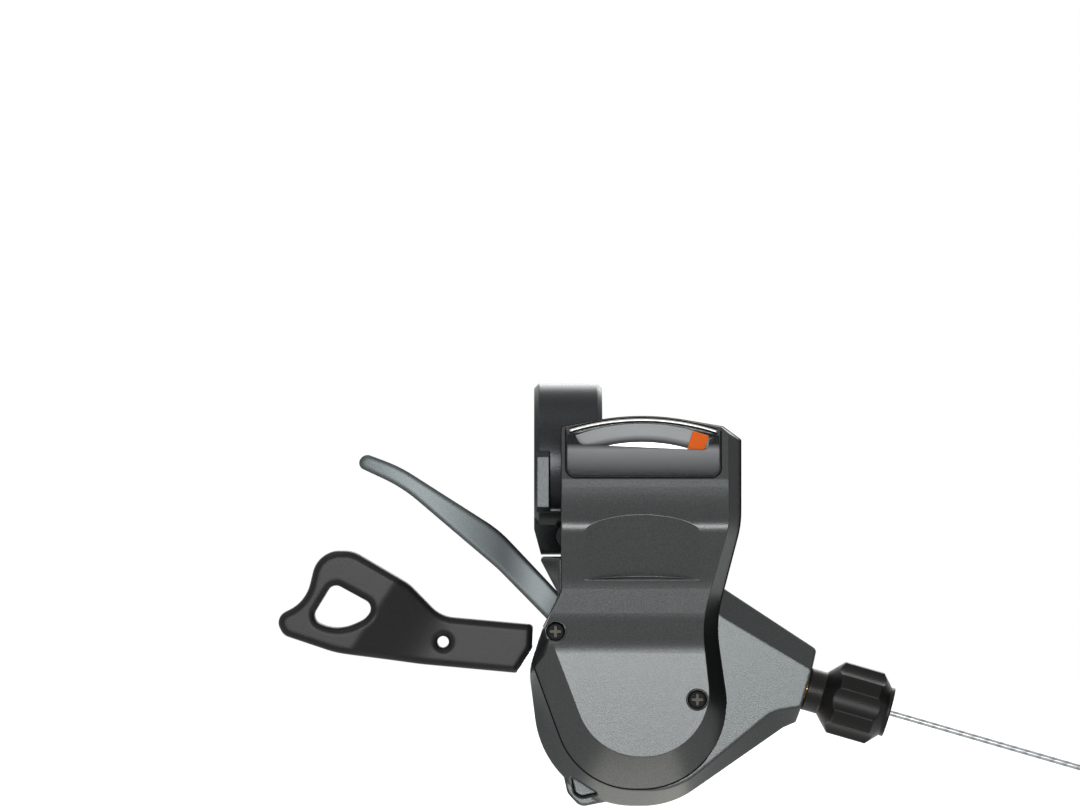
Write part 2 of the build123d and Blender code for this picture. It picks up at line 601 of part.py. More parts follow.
def main_lever_spring():
    """Torsion coil that brings the main lever back."""
    start = REAR_PLATE_LEVEL + REAR_PLATE_THICK + STACK_GAP
    pitch = (ARM_LEVEL - STACK_GAP - start - SPRING_WIRE) / MAIN_SPRING_TURNS
    return coil_spring(AXIS_X, AXIS_Z, MAIN_SPRING_RADIUS, SPRING_WIRE, pitch, MAIN_SPRING_TURNS, start)


def release_lever_spring():
    """Torsion coil round the upper pillar that brings the release lever back."""
    x, z = PILLARS[0]
    start = REAR_PLATE_LEVEL + REAR_PLATE_THICK + CLEAR
    radius = PILLAR_RADIUS + SPRING_WIRE
    return coil_spring(x, z, radius, SPRING_WIRE, PILLAR_SPRING_PITCH, PILLAR_SPRING_TURNS, start)


def main_lever_arm():
    """Pressed steel arm of the main lever, with the sleeve that turns the pawl carrier."""
    arm = slab(outline(ARM_CORNERS), ARM_LEVEL, ARM_LEVEL + ARM_THICK)
    arm += axial(ARM_HUB, ARM_LEVEL, ARM_LEVEL + ARM_THICK)
    arm += axial(SLEEVE_RADIUS, ARM_LEVEL, CARRIER_LEVEL + CARRIER_THICK)
    arm -= disc(*PAD_HOLE, PAD_HOLE_RADIUS, 0, REACH)
    return arm - axial(AXLE_RADIUS + FIT, 0, SEAM_LEVEL)


def main_lever_pad():
    """Moulded thumb pad on the arm: a slanted bend leads to a thicker loop with a window."""
    base = ARM_LEVEL + ARM_THICK
    plate = Rotation(0, PAD_TURN, 0) * bent_plate(PAD_BACK, PAD_FRONT, base, PAD_THICK)
    pad = slab(outline(PAD_CORNERS), 0, REACH) & plate
    pad -= slab(outline(PAD_WINDOW), 0, REACH)
    pad -= disc(*PAD_HOLE, PAD_HOLE_RADIUS, 0, REACH)
    return fillet(front_edges(pad, PAD_FRONT, PAD_TURN, base + PAD_THICK), PAD_EDGE)


def release_lever():
    """Bent metal trigger blade with its hub, pin arm and release pin."""
    blade = outline(RELEASE_CORNERS)
    x, z = polar(RELEASE_PIN_REACH, RELEASE_PIN_ANGLE)
    pin_arm = link((AXIS_X, AXIS_Z), RELEASE_HUB / 2, (x, z), RELEASE_PIN_RADIUS + 1)
    face = blade + Pos(AXIS_X, AXIS_Z) * Circle(RELEASE_HUB) + pin_arm
    lever = bent_plate(RELEASE_BEND, RELEASE_BEND, RELEASE_LEVEL, RELEASE_THICK) & slab(face, 0, REACH)
    lever += disc(x, z, RELEASE_PIN_RADIUS, RELEASE_LEVEL, INDEX_LEVEL + INDEX_THICK)
    return lever - axial(SLEEVE_RADIUS + FIT, 0, SEAM_LEVEL)


# Winder and ratchet
TOOTH_HEIGHT = 1.4
RATCHET_STAND, INDEX_STAND = 2.2, 1.8
RATCHET_TIP, INDEX_TIP = PAWL_REACH - RATCHET_STAND, PAWL_REACH - INDEX_STAND
RATCHET_ROOT, INDEX_ROOT = RATCHET_TIP - TOOTH_HEIGHT, INDEX_TIP - TOOTH_HEIGHT
DRUM_FLANGE = INDEX_ROOT
GROOVE_RADIUS = PULL_RADIUS - CABLE_RADIUS - CLEAR
GROOVE_WIDTH = 1.8
NIPPLE_RADIUS = 2.0
WRAP_ANGLE = 55.0
FIRST_TOOTH = 200.0
TOOTH_LEAN = 2.0


def toothed(tip, root, lean):
    """Wheel outline: a saw tooth for each gear, then a plain arc at the root."""
    points = []
    for tooth in range(SPEEDS + 1):
        angle = FIRST_TOOTH + tooth * STEP_ANGLE
        points += [polar(root, angle), polar(tip, angle + lean)]
    last = FIRST_TOOTH + (SPEEDS + 1) * STEP_ANGLE
    points.append(polar(root, last))
    back = polar(root, (last + FIRST_TOOTH + 360) / 2)
    return make_face([Polyline(*points), ThreePointArc(points[-1], back, points[0])])


def wheel(tip, root, lean, level, thick):
    """Toothed disc on the axle."""
    return slab(toothed(tip, root, lean), level, level + thick) - axial(AXLE_RADIUS + FIT, 0, REACH)


def ratchet_wheel():
    """Wheel that the drive pawl pushes."""
    return wheel(RATCHET_TIP, RATCHET_ROOT, TOOTH_LEAN, RATCHET_LEVEL, RATCHET_THICK)


def index_wheel():
    """Wheel that the holding pawl stops at each gear."""
    return wheel(INDEX_TIP, INDEX_ROOT, STEP_ANGLE - TOOTH_LEAN, INDEX_LEVEL, INDEX_THICK)


def nipple_place():
    """Front-view point of the cable's head on the drum."""
    return polar(PULL_RADIUS, 90 - CABLE_FALL + WRAP_ANGLE)


def cable_drum():
    """Drum with a cable groove and a pocket for the cable's head."""
    drum = ring(DRUM_FLANGE, AXLE_RADIUS + FIT, DRUM_LEVEL, DRUM_LEVEL + DRUM_THICK)
    half = GROOVE_WIDTH / 2
    drum -= ring(DRUM_FLANGE + 1, GROOVE_RADIUS, CABLE_LEVEL - half, CABLE_LEVEL + half)
    return drum - disc(*nipple_place(), NIPPLE_RADIUS + SEAT, DRUM_LEVEL - 1, DRUM_LEVEL + DRUM_THICK + 1)


def cable_head():
    """Cast head of the cable in its pocket, with the stretch that lies on the drum."""
    head = disc(*nipple_place(), NIPPLE_RADIUS, DRUM_LEVEL + SEAT, DRUM_LEVEL + DRUM_THICK - SEAT)
    across, along = (FALL_SIN, 0, FALL_COS), (FALL_COS, 0, -FALL_SIN)
    place = Plane(origin=(AXIS_X, -CABLE_LEVEL, AXIS_Z), x_dir=across, z_dir=along)
    section = place * (Pos(PULL_RADIUS, 0) * Circle(CABLE_RADIUS))
    return head + revolve(section, Axis((AXIS_X, 0, AXIS_Z), (0, -1, 0)), WRAP_ANGLE)


# Display: the needle turns on its own pin and follows a spiral cam
NEEDLE_X, NEEDLE_Z = DISPLAY_MIDDLE, -31.0
MARKER_WIDTH, MARKER_HEIGHT = 3.3, 3.8
MARKER_ROOM = 0.75
CROWN_HALF = (COVER_RIGHT - COVER_LEFT) / 2
CROWN_TOP = COVER_TOP + COVER_CROWN - CROWN_RADIUS * (hypot(1, COVER_CROWN / CROWN_HALF) - 1)
NEEDLE_REACH = CROWN_TOP - DISPLAY_WALL - MARKER_ROOM - MARKER_HEIGHT / 2 - NEEDLE_Z
NEEDLE_REST = 72.1
NEEDLE_SWING = 36.2
NEEDLE_PIN_RADIUS = 1.2
NEEDLE_BOSS = 2.4
NEEDLE_TAIL = 6.0
TAIL_REST = 277.0
FOLLOWER_RADIUS = 1.0
NEEDLE_RISE = 3.6
NEEDLE_TIP_RADIUS = 0.7
DRUM_TURN = (SPEEDS - 1) * STEP_ANGLE
NEEDLE_RATIO = NEEDLE_SWING / DRUM_TURN
CAM_POINTS = 10
CAM_ROOM = 0.1
CAM_SPARE = 0.1
CAM_BACK_ANGLE = 6.0


def around(x, z, radius, angle):
    """Front-view point around another point."""
    return x + radius * cos(radians(angle)), z + radius * sin(radians(angle))


def display_cam():
    """Spiral cam on the winder: each point is where the follower stands, less its radius."""
    points = []
    for step in range(CAM_POINTS + 1):
        turn = (step * (1 + 2 * CAM_SPARE) / CAM_POINTS - CAM_SPARE) * DRUM_TURN
        x, z = around(NEEDLE_X, NEEDLE_Z, NEEDLE_TAIL, TAIL_REST + turn * NEEDLE_RATIO)
        reach = hypot(x - AXIS_X, z - AXIS_Z) - FOLLOWER_RADIUS - CLEAR - CAM_ROOM
        points.append(polar(reach, degrees(atan2(z - AXIS_Z, x - AXIS_X)) - turn))
    spiral = Spline(*points)
    inner = hypot(points[0][0] - AXIS_X, points[0][1] - AXIS_Z)
    first = degrees(atan2(points[0][1] - AXIS_Z, points[0][0] - AXIS_X))
    last = degrees(atan2(points[-1][1] - AXIS_Z, points[-1][0] - AXIS_X)) - CAM_BACK_ANGLE
    foot = polar(inner, last)
    arc = ThreePointArc(foot, polar(inner, (first + last) / 2 + 180), points[0])
    face = make_face([spiral, Line(points[-1], foot), arc])
    return slab(face, CAM_LEVEL, CAM_LEVEL + CAM_THICK) - axial(AXLE_RADIUS + FIT, 0, REACH)


def needle_pin():
    """Pivot of the indicator needle, riveted in the floor."""
    return disc(NEEDLE_X, NEEDLE_Z, NEEDLE_PIN_RADIUS, FLOOR_FRONT, NEEDLE_LEVEL + 2 * NEEDLE_THICK)


def indicator_needle():
    """Needle with its boss, tail and marker flag, stepped forward to the window."""
    tip = around(NEEDLE_X, NEEDLE_Z, NEEDLE_REACH, NEEDLE_REST)
    tail = around(NEEDLE_X, NEEDLE_Z, NEEDLE_TAIL, TAIL_REST)
    pivot = (NEEDLE_X, NEEDLE_Z)
    face = link(pivot, NEEDLE_BOSS, tip, NEEDLE_TIP_RADIUS)
    face += link(pivot, NEEDLE_BOSS, tail, FOLLOWER_RADIUS + CLEAR)
    face += Pos(*tip) * Rot(0, 0, NEEDLE_REST - 90) * Rectangle(MARKER_WIDTH, MARKER_HEIGHT)
    low, high = NEEDLE_Z + NEEDLE_REACH / 3, NEEDLE_Z + NEEDLE_REACH * 2 / 3
    steps = [(-REACH, 0), (low, 0), (high, NEEDLE_RISE), (REACH, NEEDLE_RISE)]
    back = [(-NEEDLE_LEVEL - rise, z) for z, rise in steps]
    front = [(y - NEEDLE_THICK, z) for y, z in reversed(back)]
    strip = extrude(Plane.YZ * make_face(Polyline(*back, *front, close=True)), amount=REACH, both=True)
    needle = slab(face, 0, REACH) & strip
    needle += disc(*tail, FOLLOWER_RADIUS, CAM_LEVEL + STACK_GAP / 2, NEEDLE_LEVEL)
    return needle - disc(NEEDLE_X, NEEDLE_Z, NEEDLE_PIN_RADIUS + FIT, 0, REACH)


SCALE_THICK = 0.8
SCALE_GAP = 0.7
SCALE_LEFT, SCALE_RIGHT, SCALE_HEIGHT = 1.3, 28.0, 7.0
SCALE_POST = 1.0
SCALE_POSTS = [(8.4, 3.0), (24.0, 3.0)]


def scale_plate():
    """Pale plate behind the needle, on two posts of its own that stand on the tray."""
    level = NEEDLE_LEVEL + NEEDLE_RISE - SCALE_GAP - SCALE_THICK
    crown = NEEDLE_REACH + MARKER_HEIGHT / 2
    middle = Pos((SCALE_LEFT + SCALE_RIGHT) / 2, NEEDLE_Z + crown - SCALE_HEIGHT / 2)
    strip = middle * Rectangle(SCALE_RIGHT - SCALE_LEFT, SCALE_HEIGHT)
    plate = slab(strip & Pos(NEEDLE_X, NEEDLE_Z) * Circle(crown), level, level + SCALE_THICK)
    for x, z in SCALE_POSTS:
        plate += disc(x, z, SCALE_POST, TRAY_LEVEL + TRAY_THICK, level)
    return plate


# Pawls
CARRIER_HUB = 7.0
PAWL_PIN_RADIUS = 0.9
PAWL_NOSE_ANGLE = 32.0
PAWL_TAIL_ANGLE = 24.0
PAWL_TAIL_ROOT, PAWL_TAIL_END = 1.2, 0.8
PAWL_WIRE = 0.4
PAWL_PITCH = 0.5
DRIVE_ANGLE = 180.0
HOLD_ANGLE = 300.0
PIN_TOP = 1.7


def pawl_outline(angle, tip, tail):
    """Pawl about its pin, with a nose that stands clear of the teeth and an optional tail."""
    lean = -PAWL_NOSE_ANGLE if tail else PAWL_NOSE_ANGLE
    nose = polar(tip + CLEAR, angle + lean)
    heel = polar(PAWL_REACH + PAWL_BOSS / 2, angle + lean / 2)
    pin = polar(PAWL_REACH, angle)
    inner = polar(PAWL_REACH - PAWL_BOSS * 2 / 3, angle + lean / 4)
    crown = polar(PAWL_REACH + PAWL_BOSS - CLEAR, angle)
    arm = make_face(Polyline(crown, heel, nose, inner, pin, close=True))
    face = arm + Pos(*pin) * Circle(PAWL_BOSS)
    if tail:
        end = polar(PAWL_REACH - STACK_GAP, angle + tail)
        face += link(pin, PAWL_TAIL_ROOT, end, PAWL_TAIL_END)
    return face


def pawl_carrier():
    """Plate on the main lever's sleeve that carries the drive pawl."""
    x, z = polar(PAWL_REACH, DRIVE_ANGLE)
    face = link((AXIS_X, AXIS_Z), CARRIER_HUB, (x, z), PAWL_BOSS)
    plate = slab(face, CARRIER_LEVEL, CARRIER_LEVEL + CARRIER_THICK)
    plate -= disc(x, z, PAWL_PIN_RADIUS + SEAT, 0, REACH)
    return plate - axial(SLEEVE_RADIUS + SEAT, 0, REACH)


def drive_pawl():
    """Pawl that pushes the ratchet wheel round."""
    face = pawl_outline(DRIVE_ANGLE, RATCHET_TIP, 0)
    pawl = slab(face, RATCHET_LEVEL, RATCHET_LEVEL + RATCHET_THICK)
    return pawl - disc(*polar(PAWL_REACH, DRIVE_ANGLE), PAWL_PIN_RADIUS + SEAT, 0, REACH)


def drive_pawl_pin():
    """Pin of the drive pawl in the carrier."""
    x, z = polar(PAWL_REACH, DRIVE_ANGLE)
    return disc(x, z, PAWL_PIN_RADIUS, CARRIER_LEVEL, RATCHET_LEVEL + RATCHET_THICK + PIN_TOP)


def hold_pawl():
    """Pawl that holds the index wheel until the release pin lifts it."""
    face = pawl_outline(HOLD_ANGLE, INDEX_TIP, PAWL_TAIL_ANGLE)
    pawl = slab(face, INDEX_LEVEL, INDEX_LEVEL + INDEX_THICK)
    return pawl - disc(*polar(PAWL_REACH, HOLD_ANGLE), PAWL_PIN_RADIUS + FIT, 0, REACH)


def hold_pawl_pin():
    """Pin of the holding pawl, riveted in the floor."""
    x, z = polar(PAWL_REACH, HOLD_ANGLE)
    return disc(x, z, PAWL_PIN_RADIUS, FLOOR_FRONT, INDEX_LEVEL + INDEX_THICK + PIN_TOP)


def pawl_spring(angle, level):
    """Hair spring on a pawl's pin."""
    x, z = polar(PAWL_REACH, angle)
    return coil_spring(x, z, PAWL_PIN_RADIUS + PAWL_WIRE, PAWL_WIRE, PAWL_PITCH, 2, level)


def drive_pawl_spring():
    """Hair spring that swings the drive pawl to its wheel."""
    return pawl_spring(DRIVE_ANGLE, RATCHET_LEVEL + RATCHET_THICK + STACK_GAP / 2)


def hold_pawl_spring():
    """Hair spring that swings the holding pawl to its wheel."""
    return pawl_spring(HOLD_ANGLE, INDEX_LEVEL + INDEX_THICK + STACK_GAP / 2)


# Barrel adjuster
KNOB_START = FLANGE_END + STACK_GAP
KNOB_END = KNOB_START + NECK_LENGTH + KNOB_FLARE + KNOB_LENGTH + KNOB_NOSE


def adjuster_place(along):
    """Plane across the cable line, with its normal along the cable."""
    x, z = on_cable(along, 0)
    return Plane(origin=(x, -CABLE_LEVEL, z), x_dir=(0, -1, 0), z_dir=(FALL_COS, 0, -FALL_SIN))


def adjuster_knob():
    """Lobed knob: a turned form with a scallop between each two lobes."""
    flare = NECK_LENGTH + KNOB_FLARE
    shoulder = flare + KNOB_LENGTH
    end = shoulder + KNOB_NOSE
    half = [(0, 0), (NECK_RADIUS, 0), (NECK_RADIUS, NECK_LENGTH), (KNOB_RADIUS, flare)]
    half += [(KNOB_RADIUS, shoulder), (KNOB_NOSE_RADIUS, end - KNOB_RIM), (KNOB_NOSE_RADIUS, end), (0, end)]
    knob = revolve(Plane.XZ * make_face(Polyline(*half, close=True)), Axis.Z)
    reach = KNOB_RADIUS + LOBE_CUT_RADIUS - LOBE_CUT_DEPTH
    for lobe in range(KNOB_LOBES):
        knob -= Rot(0, 0, lobe * 360 / KNOB_LOBES) * Pos(reach, 0, end / 2) * Cylinder(LOBE_CUT_RADIUS, end)
    neck = Cylinder(NECK_RADIUS, end, align=(Align.CENTER, Align.CENTER, Align.MIN))
    knob += neck
    knob -= Cylinder(CABLE_BORE_RADIUS, 3 * end)
    knob -= Pos(0, 0, end) * Cylinder(HOUSING_RADIUS, 2 * HOUSING_SEAT)
    knob -= Cylinder(ADJUSTER_BOLT_RADIUS + SEAT, 2 * NECK_LENGTH)
    return adjuster_place(KNOB_START) * knob


def adjuster_bolt():
    """Hollow screw of the adjuster, moulded into the knob."""
    start = FLANGE_END - ADJUSTER_BOLT_LENGTH
    end = KNOB_START + NECK_LENGTH
    bolt = cable_cylinder(ADJUSTER_BOLT_RADIUS, start, end)
    return bolt - cable_cylinder(CABLE_BORE_RADIUS, start - 1, end + 1)


# Cable: the stretch inside the shifter, the free stretch, and the coil of the rest
LEAD_START = 0.3
COIL_TANGENT = 113.5
COIL_RADIUS = 11.0
COIL_BUNDLE = 3.9
TIE_WIDTH = 4.0
TIE_WALL = 0.7


def coil_place():
    """Plane of the coil, with its outermost turn on the cable line."""
    x, z = on_cable(COIL_TANGENT, CABLE_RADIUS - COIL_RADIUS - COIL_BUNDLE)
    return Plane(origin=(x, -CABLE_LEVEL, z), x_dir=(FALL_COS, 0, -FALL_SIN), z_dir=(0, -1, 0))


def cable_coil():
    """Outer shape of the coiled rest of the cable."""
    return coil_place() * Torus(COIL_RADIUS, COIL_BUNDLE)


def cable_tie():
    """Strap round the coil."""
    band = Pos(0, -COIL_RADIUS, 0) * Rotation(0, 90, 0) * Cylinder(COIL_BUNDLE + TIE_WALL, TIE_WIDTH)
    return coil_place() * band - cable_coil()


def cable_lead():
    """Cable from the drum through the adjuster."""
    return cable_cylinder(CABLE_RADIUS, LEAD_START, KNOB_END)


def cable_free():
    """Bare cable from the adjuster to its coil."""
    return cable_cylinder(CABLE_RADIUS, KNOB_END, COIL_TANGENT) - cable_coil()


NODES = [
    top_cover, display_lens, cover_screws, base_housing, clamp_band, clamp_bolt, saddle_screws,
    rear_plate, plate_screws, main_axle, axle_clip, thrust_spacer, main_lever_spring, release_lever_spring,
    main_lever_arm, main_lever_pad, pawl_carrier, drive_pawl, drive_pawl_pin, drive_pawl_spring,
    release_lever, cable_drum, ratchet_wheel, index_wheel, display_cam, cable_head,
    needle_pin, indicator_needle, scale_plate, hold_pawl, hold_pawl_pin, hold_pawl_spring,
    adjuster_knob, adjuster_bolt, cable_lead, cable_free, cable_coil, cable_tie,
]


def main():
    """Build every piece and write it to its own file."""
    os.makedirs("parts", exist_ok=True)
    for make in NODES:
        solid = make()
        export_step(solid, f"parts/{make.__name__}.step")
        print(make.__name__, round(solid.volume, 1), len(solid.solids()), solid.is_valid)


if __name__ == "__main__":
    main()
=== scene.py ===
"""Looks of a trigger gear shifter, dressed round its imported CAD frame.

Everything is in the row frame: +X along the handlebar, +Z up, the cover towards -Y. Sizes are
written in millimetres and turned to metres by MM.
"""
import logging
import math
from dataclasses import dataclass, field
from enum import Enum

import bpy
import numpy as np
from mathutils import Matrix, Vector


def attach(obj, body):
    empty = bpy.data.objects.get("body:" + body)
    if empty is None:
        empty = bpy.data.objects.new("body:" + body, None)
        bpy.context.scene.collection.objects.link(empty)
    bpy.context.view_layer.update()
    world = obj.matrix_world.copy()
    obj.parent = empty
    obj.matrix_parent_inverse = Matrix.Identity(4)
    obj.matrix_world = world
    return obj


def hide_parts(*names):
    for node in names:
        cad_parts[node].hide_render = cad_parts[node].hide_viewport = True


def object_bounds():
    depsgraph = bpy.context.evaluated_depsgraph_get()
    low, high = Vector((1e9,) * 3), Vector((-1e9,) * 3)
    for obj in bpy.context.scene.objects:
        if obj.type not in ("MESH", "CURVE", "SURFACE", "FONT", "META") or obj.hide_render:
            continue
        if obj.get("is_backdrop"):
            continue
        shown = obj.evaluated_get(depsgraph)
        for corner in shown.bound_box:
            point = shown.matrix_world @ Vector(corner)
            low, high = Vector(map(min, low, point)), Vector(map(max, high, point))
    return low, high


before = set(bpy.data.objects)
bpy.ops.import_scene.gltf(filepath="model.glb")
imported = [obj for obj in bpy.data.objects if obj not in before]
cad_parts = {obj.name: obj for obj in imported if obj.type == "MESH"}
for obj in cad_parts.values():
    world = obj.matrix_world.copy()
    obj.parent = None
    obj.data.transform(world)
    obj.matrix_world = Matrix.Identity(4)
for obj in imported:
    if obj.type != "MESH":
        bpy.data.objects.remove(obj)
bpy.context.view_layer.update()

MM = 0.001
LOG = logging.getLogger("shifter")


def linear(code: str) -> tuple[float, float, float, float]:
    """Turn an sRGB hex colour into linear light.

    Args:
        code: Six hex digits, with or without a leading hash.

    Returns:
        Linear red, green and blue, and an alpha of 1.
    """
    values = np.array([int(code.lstrip("#")[i:i + 2], 16) for i in (0, 2, 4)]) / 255
    low, high = values / 12.92, ((values + 0.055) / 1.055) ** 2.4
    return (*np.where(values <= 0.04045, low, high).tolist(), 1.0)


def add(tree: bpy.types.NodeTree, kind: str, inputs: dict | None = None,
        **settings: object) -> bpy.types.Node:
    """Add one shader node with its settings and links.

    Args:
        tree: Node tree of a material or world.
        kind: Node type name.
        inputs: Socket name or number to a value or to another node's output.
        settings: Node properties.

    Returns:
        The new node.
    """
    node = tree.nodes.new(kind)
    for name, value in settings.items():
        setattr(node, name, value)
    for name, value in (inputs or {}).items():
        if isinstance(value, bpy.types.NodeSocket):
            tree.links.new(value, node.inputs[name])
        else:
            node.inputs[name].default_value = value
    return node


def per_mm(size: float) -> float:
    """Find the texture scale of a pattern.

    Args:
        size: Width of one feature in millimetres.

    Returns:
        Scale for Object coordinates, which are in metres.
    """
    return 1 / (size * MM)


class Grain(Enum):
    """How a surface was made, which decides its fine relief."""

    PAINTED = "painted"
    MOULDED = "moulded"
    BRUSHED = "brushed"
    PLAIN = "plain"


@dataclass(frozen=True)
class Finish:
    """One opaque finish: a base colour broken up by fine specks, over relief and rounded edges.

    The edge radius is what a bevel of that size would show: moulded and cast pieces never have a
    knife edge, so each outline catches a thin line of light.
    """

    name: str
    colour: str
    speck: str
    metallic: float
    roughness: float
    grain: Grain = Grain.PLAIN
    grain_mm: float = 0.3
    relief: float = 0.1
    speck_share: float = 0.5
    edge_mm: float = 0.25
    sheen: float = 0.5

    def stretch(self) -> tuple[float, float, float]:
        """Find the scale of the pattern on each axis: drawn out along X where the metal was brushed.

        Returns:
            Scale on X, Y and Z.
        """
        scale = per_mm(self.grain_mm)
        return (scale / 12, scale, scale) if self.grain is Grain.BRUSHED else (scale, scale, scale)

    def specks(self, tree: bpy.types.NodeTree) -> bpy.types.NodeSocket:
        """Add the fine pattern of the surface.

        Args:
            tree: Node tree of the material.

        Returns:
            Value from 0 to 1 that the colour, gloss and relief share.
        """
        place = add(tree, "ShaderNodeTexCoord")
        mapping = add(tree, "ShaderNodeMapping", {"Vector": place.outputs["Object"], "Scale": self.stretch()})
        noise = add(tree, "ShaderNodeTexNoise", {"Vector": mapping.outputs[0], "Scale": 1.0, "Detail": 3.0})
        return noise.outputs["Fac"]

    def colours(self, tree: bpy.types.NodeTree, specks: bpy.types.NodeSocket) -> bpy.types.NodeSocket:
        """Mix the base colour and the speck colour by the pattern.

        Args:
            tree: Node tree of the material.
            specks: Value of the pattern.

        Returns:
            The mixed colour.
        """
        middle, half = 1 - self.speck_share, 0.18
        ramp = add(tree, "ShaderNodeValToRGB", {"Fac": specks})
        ramp.color_ramp.elements[0].position = max(0.0, middle - half)
        ramp.color_ramp.elements[1].position = min(1.0, middle + half)
        ramp.color_ramp.elements[0].color = linear(self.colour)
        ramp.color_ramp.elements[1].color = linear(self.speck)
        return ramp.outputs["Color"]

    def material(self) -> bpy.types.Material:
        """Build the material.

        Returns:
            Material with colour, gloss, relief and rounded edges from its nodes.
        """
        material = bpy.data.materials.new(self.name)
        material.use_nodes = True
        tree = material.node_tree
        tree.nodes.clear()
        specks = self.specks(tree)
        edges = add(tree, "ShaderNodeBevel", {"Radius": self.edge_mm * MM}, samples=16)
        bump = add(tree, "ShaderNodeBump", {"Height": specks, "Normal": edges.outputs[0],
                                            "Strength": self.relief, "Distance": self.grain_mm * MM})
        gloss = add(tree, "ShaderNodeMapRange", {"Value": specks, "To Min": self.roughness - 0.05,
                                                 "To Max": self.roughness + 0.05})
        shader = add(tree, "ShaderNodeBsdfPrincipled", {
            "Base Color": self.colours(tree, specks), "Metallic": self.metallic,
            "Roughness": gloss.outputs[0], "Normal": bump.outputs[0], "Specular IOR Level": self.sheen})
        add(tree, "ShaderNodeOutputMaterial", {"Surface": shader.outputs[0]})
        return material


@dataclass(frozen=True)
class ClearAcrylic:
    """Clear moulded acrylic: it shows what lies behind at full light, under a faint sharp reflection."""

    name: str = "clear_acrylic"
    colour: str = "#8a8f90"
    roughness: float = 0.05
    ior: float = 1.49
    cover: float = 0.04

    def material(self) -> bpy.types.Material:
        """Build the material: a thin clear skin with a faint flow mark in its gloss.

        Returns:
            The new material.
        """
        material = bpy.data.materials.new(self.name)
        material.use_nodes = True
        tree = material.node_tree
        tree.nodes.clear()
        place = add(tree, "ShaderNodeTexCoord")
        flow = add(tree, "ShaderNodeTexNoise", {"Vector": place.outputs["Object"], "Scale": per_mm(9.0)})
        gloss = add(tree, "ShaderNodeMapRange", {"Value": flow.outputs["Fac"], "To Min": self.roughness / 2,
                                                 "To Max": self.roughness * 2})
        shader = add(tree, "ShaderNodeBsdfPrincipled", {
            "Base Color": linear(self.colour), "Roughness": gloss.outputs[0], "IOR": self.ior,
            "Alpha": self.cover})
        add(tree, "ShaderNodeOutputMaterial", {"Surface": shader.outputs[0]})
        return material


@dataclass(frozen=True)
class DialPrint:
    """Grey printed plate as the gear window shows it: a bright field of painted reflection, a dark band of
    painted shadow and a grey scale.
    """

    name: str = "printed_dial"
    colour: str = "#b4b7b8"
    shade: str = "#2a2c2e"
    pale: str = "#ffffff"
    pivot_mm: tuple[float, float] = (14.6, -31.0)
    arc_mm: float = 34.9
    band_mm: float = 1.6
    blur_mm: float = 0.12
    hold_mm: float = 0.5
    roughness: float = 0.4

    def material(self) -> bpy.types.Material:
        """Build the print: the colour changes with the distance from the needle's pivot.

        Returns:
            The new material.
        """
        material = bpy.data.materials.new(self.name)
        material.use_nodes = True
        tree = material.node_tree
        tree.nodes.clear()
        place = add(tree, "ShaderNodeTexCoord")
        flat = add(tree, "ShaderNodeVectorMath", {0: place.outputs["Object"], 1: (1.0, 0.0, 1.0)},
                   operation="MULTIPLY")
        pivot = (self.pivot_mm[0] * MM, 0.0, self.pivot_mm[1] * MM)
        reach = add(tree, "ShaderNodeVectorMath", {0: flat.outputs[0], 1: pivot}, operation="DISTANCE")
        beyond = add(tree, "ShaderNodeMapRange", {
            "Value": reach.outputs["Value"], "From Min": self.arc_mm * MM,
            "From Max": (self.arc_mm + self.band_mm) * MM})
        ramp = add(tree, "ShaderNodeValToRGB", {"Fac": beyond.outputs[0]})
        # Pale inside the arc: a painted reflection.
        ramp.color_ramp.elements[0].color = linear(self.pale)
        ramp.color_ramp.elements[1].color = linear(self.colour)
        # Dark stops just beyond the arc, in the colour named shade: a painted shadow band.
        for reach_mm in (self.blur_mm, self.hold_mm):
            ramp.color_ramp.elements.new(reach_mm / self.band_mm).color = linear(self.shade)
        painted_reflection = add(tree, "ShaderNodeMath", {0: reach.outputs["Value"], 1: self.arc_mm * MM},
                   operation="LESS_THAN")
        shader = add(tree, "ShaderNodeBsdfPrincipled", {
            "Base Color": ramp.outputs[0], "Metallic": painted_reflection.outputs[0], "Roughness": self.roughness,
            "Specular IOR Level": 0.1})
        add(tree, "ShaderNodeOutputMaterial", {"Surface": shader.outputs[0]})
        return material


@dataclass(frozen=True)
class ShadedInk:
    """Ink printed behind the lens with painted shade: near black at its foot, grey under the window and black
    beside it.
    """

    name: str = "screen_printed_painted_shade"
    head: str = "#98999b"
    foot: str = "#101011"
    horn: str = "#0c0c0d"
    foot_mm: float = -2.9
    head_mm: float = 2.5
    horn_mm: float = 3.7

    def material(self) -> bpy.types.Material:
        """Build the ink: the colour changes with the height above the bar's axis.

        Returns:
            The new material.
        """
        material = bpy.data.materials.new(self.name)
        material.use_nodes = True
        tree = material.node_tree
        tree.nodes.clear()
        place = add(tree, "ShaderNodeTexCoord")
        height = add(tree, "ShaderNodeSeparateXYZ", {0: place.outputs["Object"]})
        rise = add(tree, "ShaderNodeMapRange", {
            "Value": height.outputs["Z"], "From Min": self.foot_mm * MM, "From Max": self.horn_mm * MM})
        # Painted shade: dark at the foot, lighter towards the window, black again beside it.
        ramp = add(tree, "ShaderNodeValToRGB", {"Fac": rise.outputs[0]})
        ramp.color_ramp.elements[0].color = linear(self.foot)
        ramp.color_ramp.elements[1].color = linear(self.horn)
        head = ramp.color_ramp.elements.new((self.head_mm - self.foot_mm) / (self.horn_mm - self.foot_mm))
        head.color = linear(self.head)
        shader = add(tree, "ShaderNodeBsdfPrincipled", {"Base Color": ramp.outputs[0], "Roughness": 0.5,
                                                        "Specular IOR Level": 0.05})
        add(tree, "ShaderNodeOutputMaterial", {"Surface": shader.outputs[0]})
        return material


